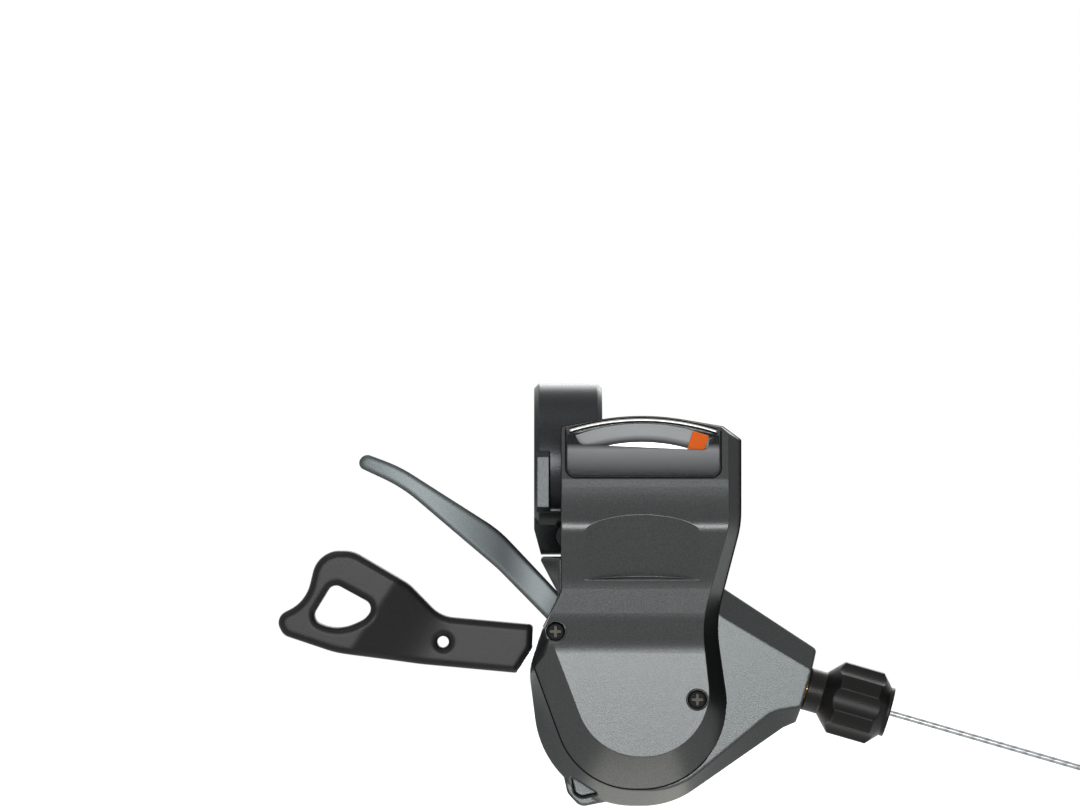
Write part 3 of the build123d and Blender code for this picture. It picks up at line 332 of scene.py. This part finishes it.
@dataclass(frozen=True)
class DriverScrew:
    """Black oxide screw whose driver recess is painted bare steel: a painted highlight for the recess's
    glints.
    """

    name: str = "painted_glint_black_oxide"
    oxide: str = "#08090a"
    steel: str = "#34332f"
    roughness: float = 0.45
    sheen: float = 0.08
    edge_mm: float = 0.2
    recess_mm: float = -28.2

    def material(self) -> bpy.types.Material:
        """Build the material: painted bare steel, a painted highlight, on faces that look forward from below
        the head's top.

        Returns:
            The new material.
        """
        material = bpy.data.materials.new(self.name)
        material.use_nodes = True
        tree = material.node_tree
        tree.nodes.clear()
        place = add(tree, "ShaderNodeTexCoord")
        depth = add(tree, "ShaderNodeSeparateXYZ", {0: place.outputs["Object"]})
        deep = add(tree, "ShaderNodeMath", {0: depth.outputs["Y"], 1: self.recess_mm * MM},
                   operation="GREATER_THAN")
        facing = add(tree, "ShaderNodeSeparateXYZ", {0: place.outputs["Normal"]})
        ahead = add(tree, "ShaderNodeMath", {0: facing.outputs["Y"], 1: -0.95}, operation="LESS_THAN")
        # Painted highlight: the forward-facing recess floor is made bare steel.
        painted_glint = add(tree, "ShaderNodeMath", {0: deep.outputs[0], 1: ahead.outputs[0]}, operation="MULTIPLY")
        ramp = add(tree, "ShaderNodeValToRGB", {"Fac": painted_glint.outputs[0]})
        ramp.color_ramp.elements[0].color = linear(self.oxide)
        ramp.color_ramp.elements[1].color = linear(self.steel)
        edges = add(tree, "ShaderNodeBevel", {"Radius": self.edge_mm * MM}, samples=6)
        shader = add(tree, "ShaderNodeBsdfPrincipled", {
            "Base Color": ramp.outputs[0], "Metallic": painted_glint.outputs[0], "Roughness": self.roughness,
            "Specular IOR Level": self.sheen, "Normal": edges.outputs[0]})
        add(tree, "ShaderNodeOutputMaterial", {"Surface": shader.outputs[0]})
        return material


@dataclass(frozen=True)
class StrandedSteel:
    """Bright steel strands laid in a helix: narrow slanting bands of light and dark along the cable, the dark
    grooves being painted shade.
    """

    name: str = "stranded_steel"
    colour: str = "#9c9e9f"
    groove_shade: str = "#7f8284"
    strand_mm: float = 0.4
    roughness: float = 0.28

    def material(self) -> bpy.types.Material:
        """Build the material on Object coordinates, so that it is the same on tube and bar.

        Returns:
            The new material.
        """
        material = bpy.data.materials.new(self.name)
        material.use_nodes = True
        tree = material.node_tree
        tree.nodes.clear()
        place = add(tree, "ShaderNodeTexCoord")
        turned = add(tree, "ShaderNodeMapping", {"Vector": place.outputs["Object"],
                                                 "Rotation": (0.0, math.radians(-40), 0.0)})
        bands = add(tree, "ShaderNodeTexWave", {
            "Vector": turned.outputs[0], "Scale": per_mm(self.strand_mm) / 20, "Distortion": 0.0})
        ramp = add(tree, "ShaderNodeValToRGB", {"Fac": bands.outputs["Fac"]})
        # Darker colour in the grooves between strands: painted shade.
        ramp.color_ramp.elements[0].color = linear(self.groove_shade)
        ramp.color_ramp.elements[1].color = linear(self.colour)
        ramp.color_ramp.elements[1].position = 0.55
        bump = add(tree, "ShaderNodeBump", {"Height": bands.outputs["Fac"], "Strength": 0.3,
                                            "Distance": 0.05 * MM})
        shader = add(tree, "ShaderNodeBsdfPrincipled", {
            "Base Color": ramp.outputs[0], "Metallic": 1.0, "Roughness": self.roughness,
            "Normal": bump.outputs[0]})
        add(tree, "ShaderNodeOutputMaterial", {"Surface": shader.outputs[0]})
        return material


# Grey metallic lacquer on moulded plastic: a soft sheen with flakes that glint singly.
COVER_PAINT = Finish("grey_metallic_lacquer", "#393b3b", "#464848", 0.92, 0.33, Grain.PAINTED, 0.22, 0.12)
# The same lacquer on the die-cast base, which has a slightly rougher skin.
BASE_PAINT = Finish("lacquered_die_cast", "#383a3a", "#444747", 0.92, 0.33, Grain.PAINTED, 0.24, 0.14,
                    edge_mm=0.9)
# Darker lacquer on the alloy band: bright where it faces the light and near black round the curve.
BAND_ALLOY = Finish("lacquered_band", "#27292a", "#323435", 0.92, 0.31, Grain.PAINTED, 0.24, 0.12,
                    edge_mm=0.4)
# Black moulded nylon with a fine spark-eroded grain, so it has no sharp reflection.
PAD_PLASTIC = Finish("moulded_nylon", "#1a191b", "#222123", 0.0, 0.36, Grain.MOULDED, 0.25, 0.08, edge_mm=1.0,
                     sheen=0.16)
# Glossier black nylon of the turning knob.
KNOB_PLASTIC = Finish("glossy_nylon", "#0f0f0e", "#171615", 0.0, 0.34, Grain.MOULDED, 0.3, 0.12, edge_mm=0.5,
                      sheen=0.16)
# Pressed alloy blade, blasted and lacquered: a pale even sheen.
RELEASE_METAL = Finish("lacquered_alloy_blade", "#484c4d", "#525758", 0.92, 0.42, Grain.PAINTED, 0.2, 0.02,
                       edge_mm=1.6)
# Black oxide screws: near black with a small sharp glint.
BLACK_SCREW = Finish("black_oxide_steel", "#101112", "#191a1b", 0.0, 0.5, Grain.PLAIN, 0.2, 0.1, edge_mm=0.2,
                     sheen=0.15)
# The cover's screws, whose recess shows a painted highlight of bare steel through the black.
COVER_SCREW = DriverScrew()
# Zinc plate on steel: bright and slightly cloudy.
ZINC = Finish("zinc_plated_steel", "#a9acae", "#c2c5c6", 1.0, 0.32, Grain.BRUSHED, 0.15, 0.06, edge_mm=0.2)
# Rolled sheet steel with drawn lines.
SHEET_STEEL = Finish("rolled_steel", "#8d9092", "#a6a9ab", 1.0, 0.36, Grain.BRUSHED, 0.12, 0.1, edge_mm=0.03)
# Hardened and oiled steel of the wheels and pawls.
TOOL_STEEL = Finish("hardened_steel", "#6f7274", "#85888a", 1.0, 0.34, Grain.BRUSHED, 0.1, 0.1, edge_mm=0.1)
# Dark spring wire.
SPRING_WIRE = Finish("spring_wire", "#6a6c6e", "#7d7f81", 1.0, 0.3, Grain.PLAIN, 0.3, 0.05, edge_mm=0.05)
# Milky acetal of the drum and cam.
ACETAL = Finish("natural_acetal", "#d9d8cf", "#e4e3db", 0.0, 0.4, Grain.MOULDED, 0.4, 0.05, edge_mm=0.15)
# Orange moulded marker.
ORANGE = Finish("orange_styrene", "#ff6a00", "#ff7206", 0.0, 0.8, Grain.MOULDED, 0.4, 0.04,
                edge_mm=0.15, sheen=0.0)
# Turned brass of the adjuster's screw.
BRASS = Finish("turned_brass", "#b8924a", "#c8a45e", 1.0, 0.3, Grain.BRUSHED, 0.1, 0.08, edge_mm=0.1)
# Black strap round the coil.
STRAP = Finish("black_strap", "#1c1c1d", "#28282a", 0.0, 0.55, Grain.MOULDED, 0.5, 0.2, edge_mm=0.2)

# Ink printed behind the lens: smooth, with painted shade that lightens towards the window.
PANEL_INK = ShadedInk()
# Bright line on the lens's top edge: a painted reflection, thin and mirror-like.
EDGE_REFLECTION = Finish("bright_painted_reflection", "#a3a19d", "#b5b3af", 1.0, 0.3, Grain.PLAIN, 0.3, 0.02, edge_mm=0.05)
# Near-black beads in the seams: painted shade of the gaps, so each seam reads as a dark line.
SEAM_SHADE = Finish("painted_seam_shade", "#08080a", "#101012", 0.0, 0.7, Grain.MOULDED, 0.3, 0.05,
                edge_mm=0.05, sheen=0.1)
# Distance below the crown and half width in millimetres, finish and material slot of each line.
# Dark lines of painted shade on either side of a bright painted reflection.
CROWN_LINES = ((0.16, 0.14, SEAM_SHADE, "screw_black"), (0.58, 0.28, EDGE_REFLECTION, "bolt_steel"),
               (1.0, 0.14, SEAM_SHADE, "screw_black"))

AnyFinish = Finish | ClearAcrylic | DialPrint | DriverScrew | ShadedInk | StrandedSteel

NODE_FINISHES: dict[str, AnyFinish] = {
    "top_cover": COVER_PAINT,
    "display_lens": ClearAcrylic(),
    "cover_screws": COVER_SCREW,
    "base_housing": BASE_PAINT,
    "clamp_band": BAND_ALLOY,
    "clamp_bolt": BLACK_SCREW,
    "saddle_screws": ZINC,
    "rear_plate": SHEET_STEEL,
    "plate_screws": BLACK_SCREW,
    "main_axle": ZINC,
    "axle_clip": SPRING_WIRE,
    "thrust_spacer": ACETAL,
    "main_lever_spring": SPRING_WIRE,
    "release_lever_spring": SPRING_WIRE,
    "main_lever_arm": SHEET_STEEL,
    "main_lever_pad": PAD_PLASTIC,
    "pawl_carrier": SHEET_STEEL,
    "drive_pawl": TOOL_STEEL,
    "drive_pawl_pin": ZINC,
    "drive_pawl_spring": SPRING_WIRE,
    "release_lever": RELEASE_METAL,
    "cable_drum": ACETAL,
    "ratchet_wheel": TOOL_STEEL,
    "index_wheel": TOOL_STEEL,
    "display_cam": ACETAL,
    "cable_head": StrandedSteel(),
    "needle_pin": ZINC,
    "indicator_needle": ORANGE,
    "scale_plate": DialPrint(),
    "hold_pawl": TOOL_STEEL,
    "hold_pawl_pin": ZINC,
    "hold_pawl_spring": SPRING_WIRE,
    "adjuster_knob": KNOB_PLASTIC,
    "adjuster_bolt": BRASS,
    "cable_lead": StrandedSteel(),
    "cable_tie": STRAP,
}


class Finishes:
    """Materials made so far, one for each finish."""

    def __init__(self) -> None:
        """Start with no materials."""
        self.made: dict[str, bpy.types.Material] = {}

    def get(self, finish: AnyFinish) -> bpy.types.Material:
        """Give the material of a finish, built once.

        Args:
            finish: The wanted finish.

        Returns:
            Its material.
        """
        if finish.name not in self.made:
            self.made[finish.name] = finish.material()
        return self.made[finish.name]

    def dress(self, piece: bpy.types.Object, finish: AnyFinish) -> None:
        """Put a finish on a piece, in place of what it had.

        Args:
            piece: Object to dress.
            finish: The wanted finish.
        """
        piece.data.materials.clear()
        piece.data.materials.append(self.get(finish))

    def dress_frame(self) -> None:
        """Put the listed finishes on the CAD nodes."""
        for node, finish in NODE_FINISHES.items():
            self.dress(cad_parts[node], finish)
        LOG.info("dressed %d nodes in %d finishes", len(NODE_FINISHES), len(self.made))


@dataclass
class GearCable:
    """Bare shift cable: straight out of the knob, then the rest of its length in a tied coil."""

    exit_mm: tuple[float, float, float] = (64.409, -18.4, -50.408)
    fall_deg: float = 16.1
    run_mm: float = 61.0
    length_mm: float = 2100.0
    diameter_mm: float = 1.2
    coil_radius_mm: float = 11.0
    bundle_mm: float = 3.9
    pitch_mm: float = 1.25
    points_per_turn: int = 14
    shift_share: float = 0.15

    def bundle(self) -> np.ndarray:
        """Places of the turns in the bundle's cross-section.

        Formula: rows of a hexagonal packing, read to and fro like a weaver's shuttle from the outside
        of the coil to its inside, keeping those whose wire lies in the bundle's circle.

        Returns:
            One (radial, depth) pair in millimetres for each turn.
        """
        reach = self.bundle_mm - self.diameter_mm / 2 + self.pitch_mm / 8
        step = self.pitch_mm * math.sqrt(3) / 2
        rows = []
        for row in range(-3, 4):
            columns = (np.arange(-3, 4) + (0.5 if row % 2 else 0.0)) * self.pitch_mm
            columns = columns[np.hypot(columns, row * step) <= reach]
            columns = columns if row % 2 else columns[::-1]
            rows.append(np.column_stack([np.full(len(columns), -row * step), columns]))
        return np.concatenate(rows)

    def route(self) -> np.ndarray:
        """Control points of the cable's spline.

        Formula: two points for the straight run, then a circle whose radius and depth move on to the next
        place in the bundle during the last part of each turn. The circle's points stand outside the
        wanted radius by as much as a quadratic spline cuts inside them.

        Returns:
            Points in metres, one a row.
        """
        fall = math.radians(self.fall_deg)
        along = np.array([math.cos(fall), 0.0, -math.sin(fall)])
        up = np.array([math.sin(fall), 0.0, math.cos(fall)])
        start = np.array(self.exit_mm)
        straight = start + np.outer([0.0, 6 * self.diameter_mm, self.run_mm - 6 * self.diameter_mm], along)
        places = self.bundle()
        outer = self.coil_radius_mm + places[0, 0]
        lengths = np.cumsum(2 * math.pi * (self.coil_radius_mm + places[:, 0]))
        turns = np.interp(self.length_mm - self.run_mm, np.append(0, lengths), np.arange(len(places) + 1))
        turn = np.arange(0, turns, 1 / self.points_per_turn)
        index = np.minimum(turn.astype(int), len(places) - 2)
        share = np.clip((turn - index - 1 + self.shift_share) / self.shift_share, 0, 1)[:, None]
        offset = places[index] * (1 - share) + places[index + 1] * share
        angle = -2 * math.pi * turn
        cut = 1 / math.cos(math.pi / self.points_per_turn)
        radius = ((self.coil_radius_mm + offset[:, 0]) * cut)[:, None]
        centre = start + along * self.run_mm - up * outer
        circle = centre + radius * (np.cos(angle)[:, None] * up - np.sin(angle)[:, None] * along)
        circle[:, 1] -= offset[:, 1]
        return np.concatenate([straight, circle]) * MM

    def build(self, finishes: Finishes) -> bpy.types.Object:
        """Make the cable as one smooth spline.

        Args:
            finishes: Materials made so far.

        Returns:
            The curve object.
        """
        points = self.route()
        curve = bpy.data.curves.new("gear_cable", "CURVE")
        curve.dimensions = "3D"
        curve.bevel_depth = self.diameter_mm / 2 * MM
        curve.bevel_resolution = 2
        curve.resolution_u = 4
        spline = curve.splines.new("NURBS")
        spline.points.add(len(points) - 1)
        spline.points.foreach_set("co", np.column_stack([points, np.ones(len(points))]).ravel())
        spline.order_u = 3
        spline.use_endpoint_u = True
        cable = bpy.data.objects.new("gear_cable", curve)
        bpy.context.scene.collection.objects.link(cable)
        finishes.dress(cable, StrandedSteel())
        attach(cable, "bracket")
        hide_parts("cable_free", "cable_coil")
        LOG.info("cable of %d points", len(points))
        return cable


def grid_piece(name: str, places: np.ndarray, wrap: bool = False, capped: bool = False) -> bpy.types.Object:
    """Make a mesh object from a grid of points.

    Args:
        name: Object name.
        places: Array of rows, columns and three coordinates, in millimetres.
        wrap: Whether the last column joins the first.
        capped: Whether the first and last rows are closed by one face each.

    Returns:
        Object at the origin, smooth shaded.
    """
    rows, columns = places.shape[:2]
    number = np.arange(rows * columns).reshape(rows, columns)
    right = np.roll(number, -1, axis=1) if wrap else number[:, 1:]
    left = number if wrap else number[:, :-1]
    quads = np.stack([left[:-1], right[:-1], right[1:], left[1:]], axis=-1).reshape(-1, 4)
    faces = quads.tolist()
    if capped:
        faces += [number[0, ::-1].tolist(), number[-1].tolist()]
    mesh = bpy.data.meshes.new(name)
    mesh.from_pydata((places.reshape(-1, 3) * MM).tolist(), [], faces)
    mesh.polygons.foreach_set("use_smooth", np.ones(len(mesh.polygons), dtype=bool))
    piece = bpy.data.objects.new(name, mesh)
    bpy.context.scene.collection.objects.link(piece)
    return piece


@dataclass
class GearDisplay:
    """Trim of the gear window: the dark panel, a bead of painted shade round the lens and the lines on its
    crown.
    """

    left_mm: float = -0.4
    right_mm: float = 30.2
    bottom_mm: float = -2.9
    corner_mm: float = 2.0
    inset_mm: float = 0.15
    panel_ends_mm: tuple[tuple[float, float], tuple[float, float]] = ((2.9, 3.55), (26.9, 2.45))
    horn_width_mm: float = 2.1
    horn_rise_mm: float = 3.2
    crown_middle_mm: float = 14.6
    crown_top_mm: float = 9.04
    crown_radius_mm: float = 49.0
    crown_margin_mm: float = 1.3
    ridge_z_mm: float = -12.6
    ridge_level_mm: float = 34.8
    tilt: float = 0.29
    panel_depth_mm: float = 1.23
    panel_thick_mm: float = 0.04
    seam_shade_mm: float = 0.16

    def level(self, z: np.ndarray) -> np.ndarray:
        """Find how far the lens's front stands before the bar axis: it falls back evenly above the ridge.

        Args:
            z: Heights in millimetres.

        Returns:
            Distances in millimetres.
        """
        return self.ridge_level_mm - self.tilt * (z - self.ridge_z_mm)

    def crown(self, x: np.ndarray) -> np.ndarray:
        """Find the height of the cover's top edge: an arc about the middle of the display.

        Args:
            x: Places along the bar in millimetres.

        Returns:
            Heights in millimetres.
        """
        drop = self.crown_radius_mm - np.sqrt(self.crown_radius_mm ** 2 - (x - self.crown_middle_mm) ** 2)
        return self.crown_top_mm - drop

    def panel(self, finishes: Finishes) -> None:
        """Make the printed panel.

        Formula: for each x a column from the lower edge, which is a line with round corners, to the upper
        edge, which is a slanting line that sweeps up as a parabola to just under the crown at both ends.

        Args:
            finishes: Materials made so far.
        """
        x = np.linspace(self.left_mm + self.inset_mm, self.right_mm - self.inset_mm, 160)
        inset = np.minimum(x - x[0], x[-1] - x)
        round_off = np.clip(self.corner_mm - inset, 0, self.corner_mm)
        low = self.bottom_mm + self.inset_mm + self.corner_mm - np.sqrt(self.corner_mm ** 2 - round_off ** 2)
        (x0, z0), (x1, z1) = self.panel_ends_mm
        beyond = np.maximum(np.maximum(x0 - x, x - x1), 0) / self.horn_width_mm
        line = z0 + (z1 - z0) * (x - x0) / (x1 - x0)
        high = np.minimum(line + self.horn_rise_mm * beyond ** 2, self.crown(x) - self.crown_margin_mm)
        share = np.linspace(0, 1, 12)[:, None]
        z = low + (high - low) * share
        across = np.broadcast_to(x, z.shape)
        places = np.stack([across, self.panel_depth_mm - self.level(z), z], axis=-1)
        piece = grid_piece("display_panel", places)
        skin = piece.modifiers.new("thickness", "SOLIDIFY")
        skin.thickness = self.panel_thick_mm * MM
        skin.offset = -1.0
        finishes.dress(piece, PANEL_INK)
        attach(piece, "bracket")

    def bead(self, name: str, x: np.ndarray, z: np.ndarray, radius: float, sink: float, finish: Finish,
             finishes: Finishes) -> None:
        """Lay a thin bead on the lens's plane.

        Formula: a small ellipse carried along a path, with one axis across the path in the plane of the lens
        and the other out of that plane.

        Args:
            name: Object name.
            x: Places along the bar, in millimetres.
            z: Heights, in millimetres.
            radius: Half width of the bead.
            sink: How far its middle lies behind the lens's front.
            finish: Finish of the bead.
            finishes: Materials made so far.
        """
        path = np.column_stack([x, sink - self.level(z), z])
        ahead = np.gradient(path, axis=0)
        ahead /= np.linalg.norm(ahead, axis=1)[:, None]
        out = np.array([0.0, -1.0, self.tilt])
        out /= np.linalg.norm(out)
        side = np.cross(ahead, out)
        turn = np.linspace(0, 2 * np.pi, 12, endpoint=False)[None, :, None]
        places = path[:, None] + radius * (np.cos(turn) * side[:, None] + 0.6 * np.sin(turn) * out)
        piece = grid_piece(name, places, True, True)
        finishes.dress(piece, finish)
        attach(piece, "bracket")

    def seam_shade(self, finishes: Finishes) -> None:
        """Fill the gap round the lens with a dark bead of painted shade: down its left side, round two
        corners and up its right side.

        Args:
            finishes: Materials made so far.
        """
        grown, radius = self.inset_mm, self.corner_mm + self.inset_mm
        left, right, low = self.left_mm - grown, self.right_mm + grown, self.bottom_mm - grown
        turn = np.linspace(0, math.pi / 2, 12)
        side = np.linspace(1, 0, 20, endpoint=False)
        left_top, right_top = self.crown(np.array([left, right])) - self.seam_shade_mm
        foot = low + radius
        fall, rise = radius * (1 - np.sin(turn)), radius * (1 - np.cos(turn))
        x = np.concatenate([np.full(20, left), left + rise, right - fall, np.full(20, right)])
        z = np.concatenate([foot + (left_top - foot) * side, low + fall, low + rise,
                            foot + (right_top - foot) * side[::-1]])
        self.bead("lens_seam_shade", x, z, self.seam_shade_mm, self.seam_shade_mm / 2, SEAM_SHADE, finishes)

    def crown_lines(self, finishes: Finishes) -> None:
        """Lay a bright line of painted reflection between two dark lines of painted shade, each at a fixed
        distance below the crown.

        Args:
            finishes: Materials made so far.
        """
        x = np.linspace(self.left_mm + 0.6, self.right_mm - 0.6, 80)
        for number, (drop, radius, finish, slot) in enumerate(CROWN_LINES):
            z = self.crown(x) - drop
            self.bead(f"crown_line_{number + 1}", x, z, radius, 0.0, finish, finishes)

    def build(self, finishes: Finishes) -> None:
        """Make the trim.

        Args:
            finishes: Materials made so far.
        """
        self.panel(finishes)
        self.seam_shade(finishes)
        self.crown_lines(finishes)
        LOG.info("display trim")


@dataclass
class PartingLine:
    """Dark line of painted shade in the gap between the cover and the base, all round the cover's lower edge.
    """

    width_mm: float = 0.3
    reach_mm: float = 0.002
    sides: int = 10

    def edge(self) -> np.ndarray:
        """Outline of the cover's lower edge, read from its own mesh.

        Formula: of the triangles with one edge on the mesh's rearmost plane, those that face away from the
        middle belong to the outer wall. The ends of their edges are put in order by their angle about
        the middle.

        Returns:
            Points in millimetres, one a row, the last the same as the first.
        """
        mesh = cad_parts["top_cover"].data
        places = np.empty(len(mesh.vertices) * 3)
        mesh.vertices.foreach_get("co", places)
        places = places.reshape(-1, 3) / MM
        numbers = np.empty(len(mesh.loops), dtype=int)
        mesh.loops.foreach_get("vertex_index", numbers)
        normals = np.empty(len(mesh.polygons) * 3)
        mesh.polygons.foreach_get("normal", normals)
        normals = normals.reshape(-1, 3)
        corners = places[numbers].reshape(-1, 3, 3)
        rear = corners[:, :, 1] > places[:, 1].max() - self.reach_mm
        middle = (places.min(axis=0) + places.max(axis=0)) / 2
        outward = np.einsum("ij,ij->i", corners.mean(axis=1) - middle, normals * (1, 0, 1))
        wall = (rear.sum(axis=1) == 2) & (outward > 0)
        points = np.unique(np.round(corners[wall][rear[wall]], 3), axis=0)
        angle = np.arctan2(points[:, 2] - middle[2], points[:, 0] - middle[0])
        points = points[np.argsort(angle)]
        return np.concatenate([points, points[:1]])

    def build(self, finishes: Finishes) -> None:
        """Carry a small circle along the edge.

        Args:
            finishes: Materials made so far.
        """
        path = self.edge()
        ahead = np.gradient(path, axis=0)
        ahead[[0, -1]] = path[1] - path[-2]
        ahead /= np.linalg.norm(ahead, axis=1)[:, None]
        out = np.array([0.0, -1.0, 0.0])
        side = np.cross(ahead, out)
        turn = np.linspace(0, 2 * np.pi, self.sides, endpoint=False)[None, :, None]
        places = path[:, None] + self.width_mm / 2 * (np.cos(turn) * side[:, None] + np.sin(turn) * out)
        piece = grid_piece("parting_line", places, True)
        # Painted shade: a near-black bead where the gap lies in shadow.
        finishes.dress(piece, SEAM_SHADE)
        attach(piece, "bracket")
        LOG.info("parting line of %d points", len(path))


@dataclass
class Studio:
    """Long-lens camera, soft front light, pale floor and white surround."""

    middle_mm: tuple[float, float] = (-5.7, 11.4)
    frame_width_mm: float = 216.0
    distance: float = 1.2
    sensor_mm: float = 36.0
    floor_gap: float = 0.0005
    floor_size: float = 2.2
    key_size: tuple[float, float] = (0.32, 0.27)
    key_power: float = 6.0
    ambient: float = 0.12
    floor_glow: float = 0.8
    flag_x: float = 0.4
    flag_y: tuple[float, float] = (-0.4, 0.3)
    flag_z: tuple[float, float] = (-0.09, 0.16)
    lamps: list[bpy.types.Object] = field(default_factory=list)

    def camera(self) -> None:
        """Set up the camera square on the cover, framed as the photograph is."""
        data = bpy.data.cameras.new("camera")
        data.sensor_width = self.sensor_mm
        data.lens = self.sensor_mm * self.distance / (self.frame_width_mm * MM)
        data.clip_end = 50.0
        camera = bpy.data.objects.new("camera", data)
        camera.location = (self.middle_mm[0] * MM, -self.distance - 0.025, self.middle_mm[1] * MM)
        camera.rotation_euler = (math.pi / 2, 0.0, 0.0)
        bpy.context.scene.collection.objects.link(camera)
        bpy.context.scene.camera = camera

    def lamp(self, name: str, place: tuple[float, float, float], turn: tuple[float, float, float],
             size: tuple[float, float], power: float, colour: str = "#ffffff") -> None:
        """Add one soft box.

        Args:
            name: Lamp name.
            place: Where it stands, in metres.
            turn: Euler angles in degrees.
            size: Width and height in metres.
            power: Watts.
            colour: Colour of its light.
        """
        data = bpy.data.lights.new(name, "AREA")
        data.shape = "RECTANGLE"
        data.size, data.size_y = size
        data.energy = power
        data.color = linear(colour)[:3]
        lamp = bpy.data.objects.new(name, data)
        lamp.location = place
        lamp.rotation_euler = tuple(math.radians(angle) for angle in turn)
        lamp.visible_camera = False
        bpy.context.scene.collection.objects.link(lamp)
        self.lamps.append(lamp)

    def lights(self) -> None:
        """Soft box round the lens, a weaker one above, a warm one from below, and one behind."""
        self.lamp("key", (0.0, -0.9, -0.03), (90, 0, 0), self.key_size, self.key_power)
        self.lamp("top", (-0.3, -0.3, 0.9), (20, -15, 0), (0.5, 0.5), 1.2)
        self.lamp("low", (0.013, -0.018, -0.09), (180, 0, 0), (0.05, 0.04), 0.015, "#fff8ec")
        self.lamp("rear", (0.2, 0.9, 0.5), (-60, 0, 0), (0.6, 0.6), 3.0)

    def seen(self, tree: bpy.types.NodeTree) -> bpy.types.NodeSocket:
        """Add the test for rays that show the background: from the camera, off metal or through the lens.

        Args:
            tree: Node tree of a material or world.

        Returns:
            Value of 1 for such rays and 0 for others.
        """
        path = add(tree, "ShaderNodeLightPath")
        camera, metal = path.outputs["Is Camera Ray"], path.outputs["Is Glossy Ray"]
        either = add(tree, "ShaderNodeMath", {0: camera, 1: metal}, operation="MAXIMUM")
        clear = add(tree, "ShaderNodeMath", {0: either.outputs[0], 1: path.outputs["Is Transmission Ray"]},
                    operation="MAXIMUM")
        return clear.outputs[0]

    def surround(self) -> None:
        """World: white to the camera, in metal and through the lens, plain grey light on the object."""
        world = bpy.data.worlds.new("surround")
        bpy.context.scene.world = world
        world.use_nodes = True
        tree = world.node_tree
        tree.nodes.clear()
        strength = add(tree, "ShaderNodeMapRange", {
            "Value": self.seen(tree), "To Min": self.ambient, "To Max": 1.0})
        light = add(tree, "ShaderNodeBackground", {
            "Color": linear("#ffffff"), "Strength": strength.outputs[0]})
        add(tree, "ShaderNodeOutputWorld", {"Surface": light.outputs[0]})

    def floor(self) -> None:
        """Pale floor under the lowest piece, white to the camera but for its shadows."""
        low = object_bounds()[0][2] - self.floor_gap
        half = self.floor_size / 2
        corners = np.array([(-half, -half, low), (half, -half, low), (half, half, low), (-half, half, low)])
        mesh = bpy.data.meshes.new("floor")
        mesh.from_pydata(corners.tolist(), [], [(0, 1, 2, 3)])
        material = bpy.data.materials.new("pale_floor")
        material.use_nodes = True
        tree = material.node_tree
        tree.nodes.clear()
        paint = add(tree, "ShaderNodeBsdfDiffuse", {"Color": linear("#f4f4f4")})
        share = add(tree, "ShaderNodeMath", {0: self.seen(tree), 1: self.floor_glow}, operation="MULTIPLY")
        glow = add(tree, "ShaderNodeEmission", {"Strength": share.outputs[0]})
        both = add(tree, "ShaderNodeAddShader", {0: paint.outputs[0], 1: glow.outputs[0]})
        add(tree, "ShaderNodeOutputMaterial", {"Surface": both.outputs[0]})
        mesh.materials.append(material)
        floor = bpy.data.objects.new("floor", mesh)
        bpy.context.scene.collection.objects.link(floor)
        floor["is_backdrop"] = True

    def flag(self) -> None:
        """Stand a dark card at the right, seen only in metal, which gives the cover its dark right edge."""
        (y0, y1), (z0, z1) = self.flag_y, self.flag_z
        x = self.flag_x
        mesh = bpy.data.meshes.new("flag")
        mesh.from_pydata([(x, y0, z0), (x, y1, z0), (x, y1, z1), (x, y0, z1)], [], [(0, 1, 2, 3)])
        material = bpy.data.materials.new("dark_card")
        material.use_nodes = True
        tree = material.node_tree
        tree.nodes.clear()
        card = add(tree, "ShaderNodeBsdfDiffuse", {"Color": linear("#303030")})
        add(tree, "ShaderNodeOutputMaterial", {"Surface": card.outputs[0]})
        mesh.materials.append(material)
        flag = bpy.data.objects.new("flag", mesh)
        flag.visible_camera = False
        flag.visible_diffuse = False
        flag.visible_shadow = False
        bpy.context.scene.collection.objects.link(flag)
        flag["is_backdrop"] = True

    def build(self) -> None:
        """Set up the whole studio."""
        self.camera()
        self.lights()
        self.surround()
        self.floor()
        self.flag()
        bpy.context.scene.view_settings.view_transform = "Standard"
        LOG.info("studio with %d lamps", len(self.lamps))


def main() -> None:
    """Build and dress every piece."""
    logging.basicConfig(level=logging.INFO, format="%(name)s: %(message)s")
    finishes = Finishes()
    finishes.dress_frame()
    Studio().build()
    GearCable().build(finishes)
    GearDisplay().build(finishes)
    PartingLine().build(finishes)


if __name__ == "__main__":
    main()
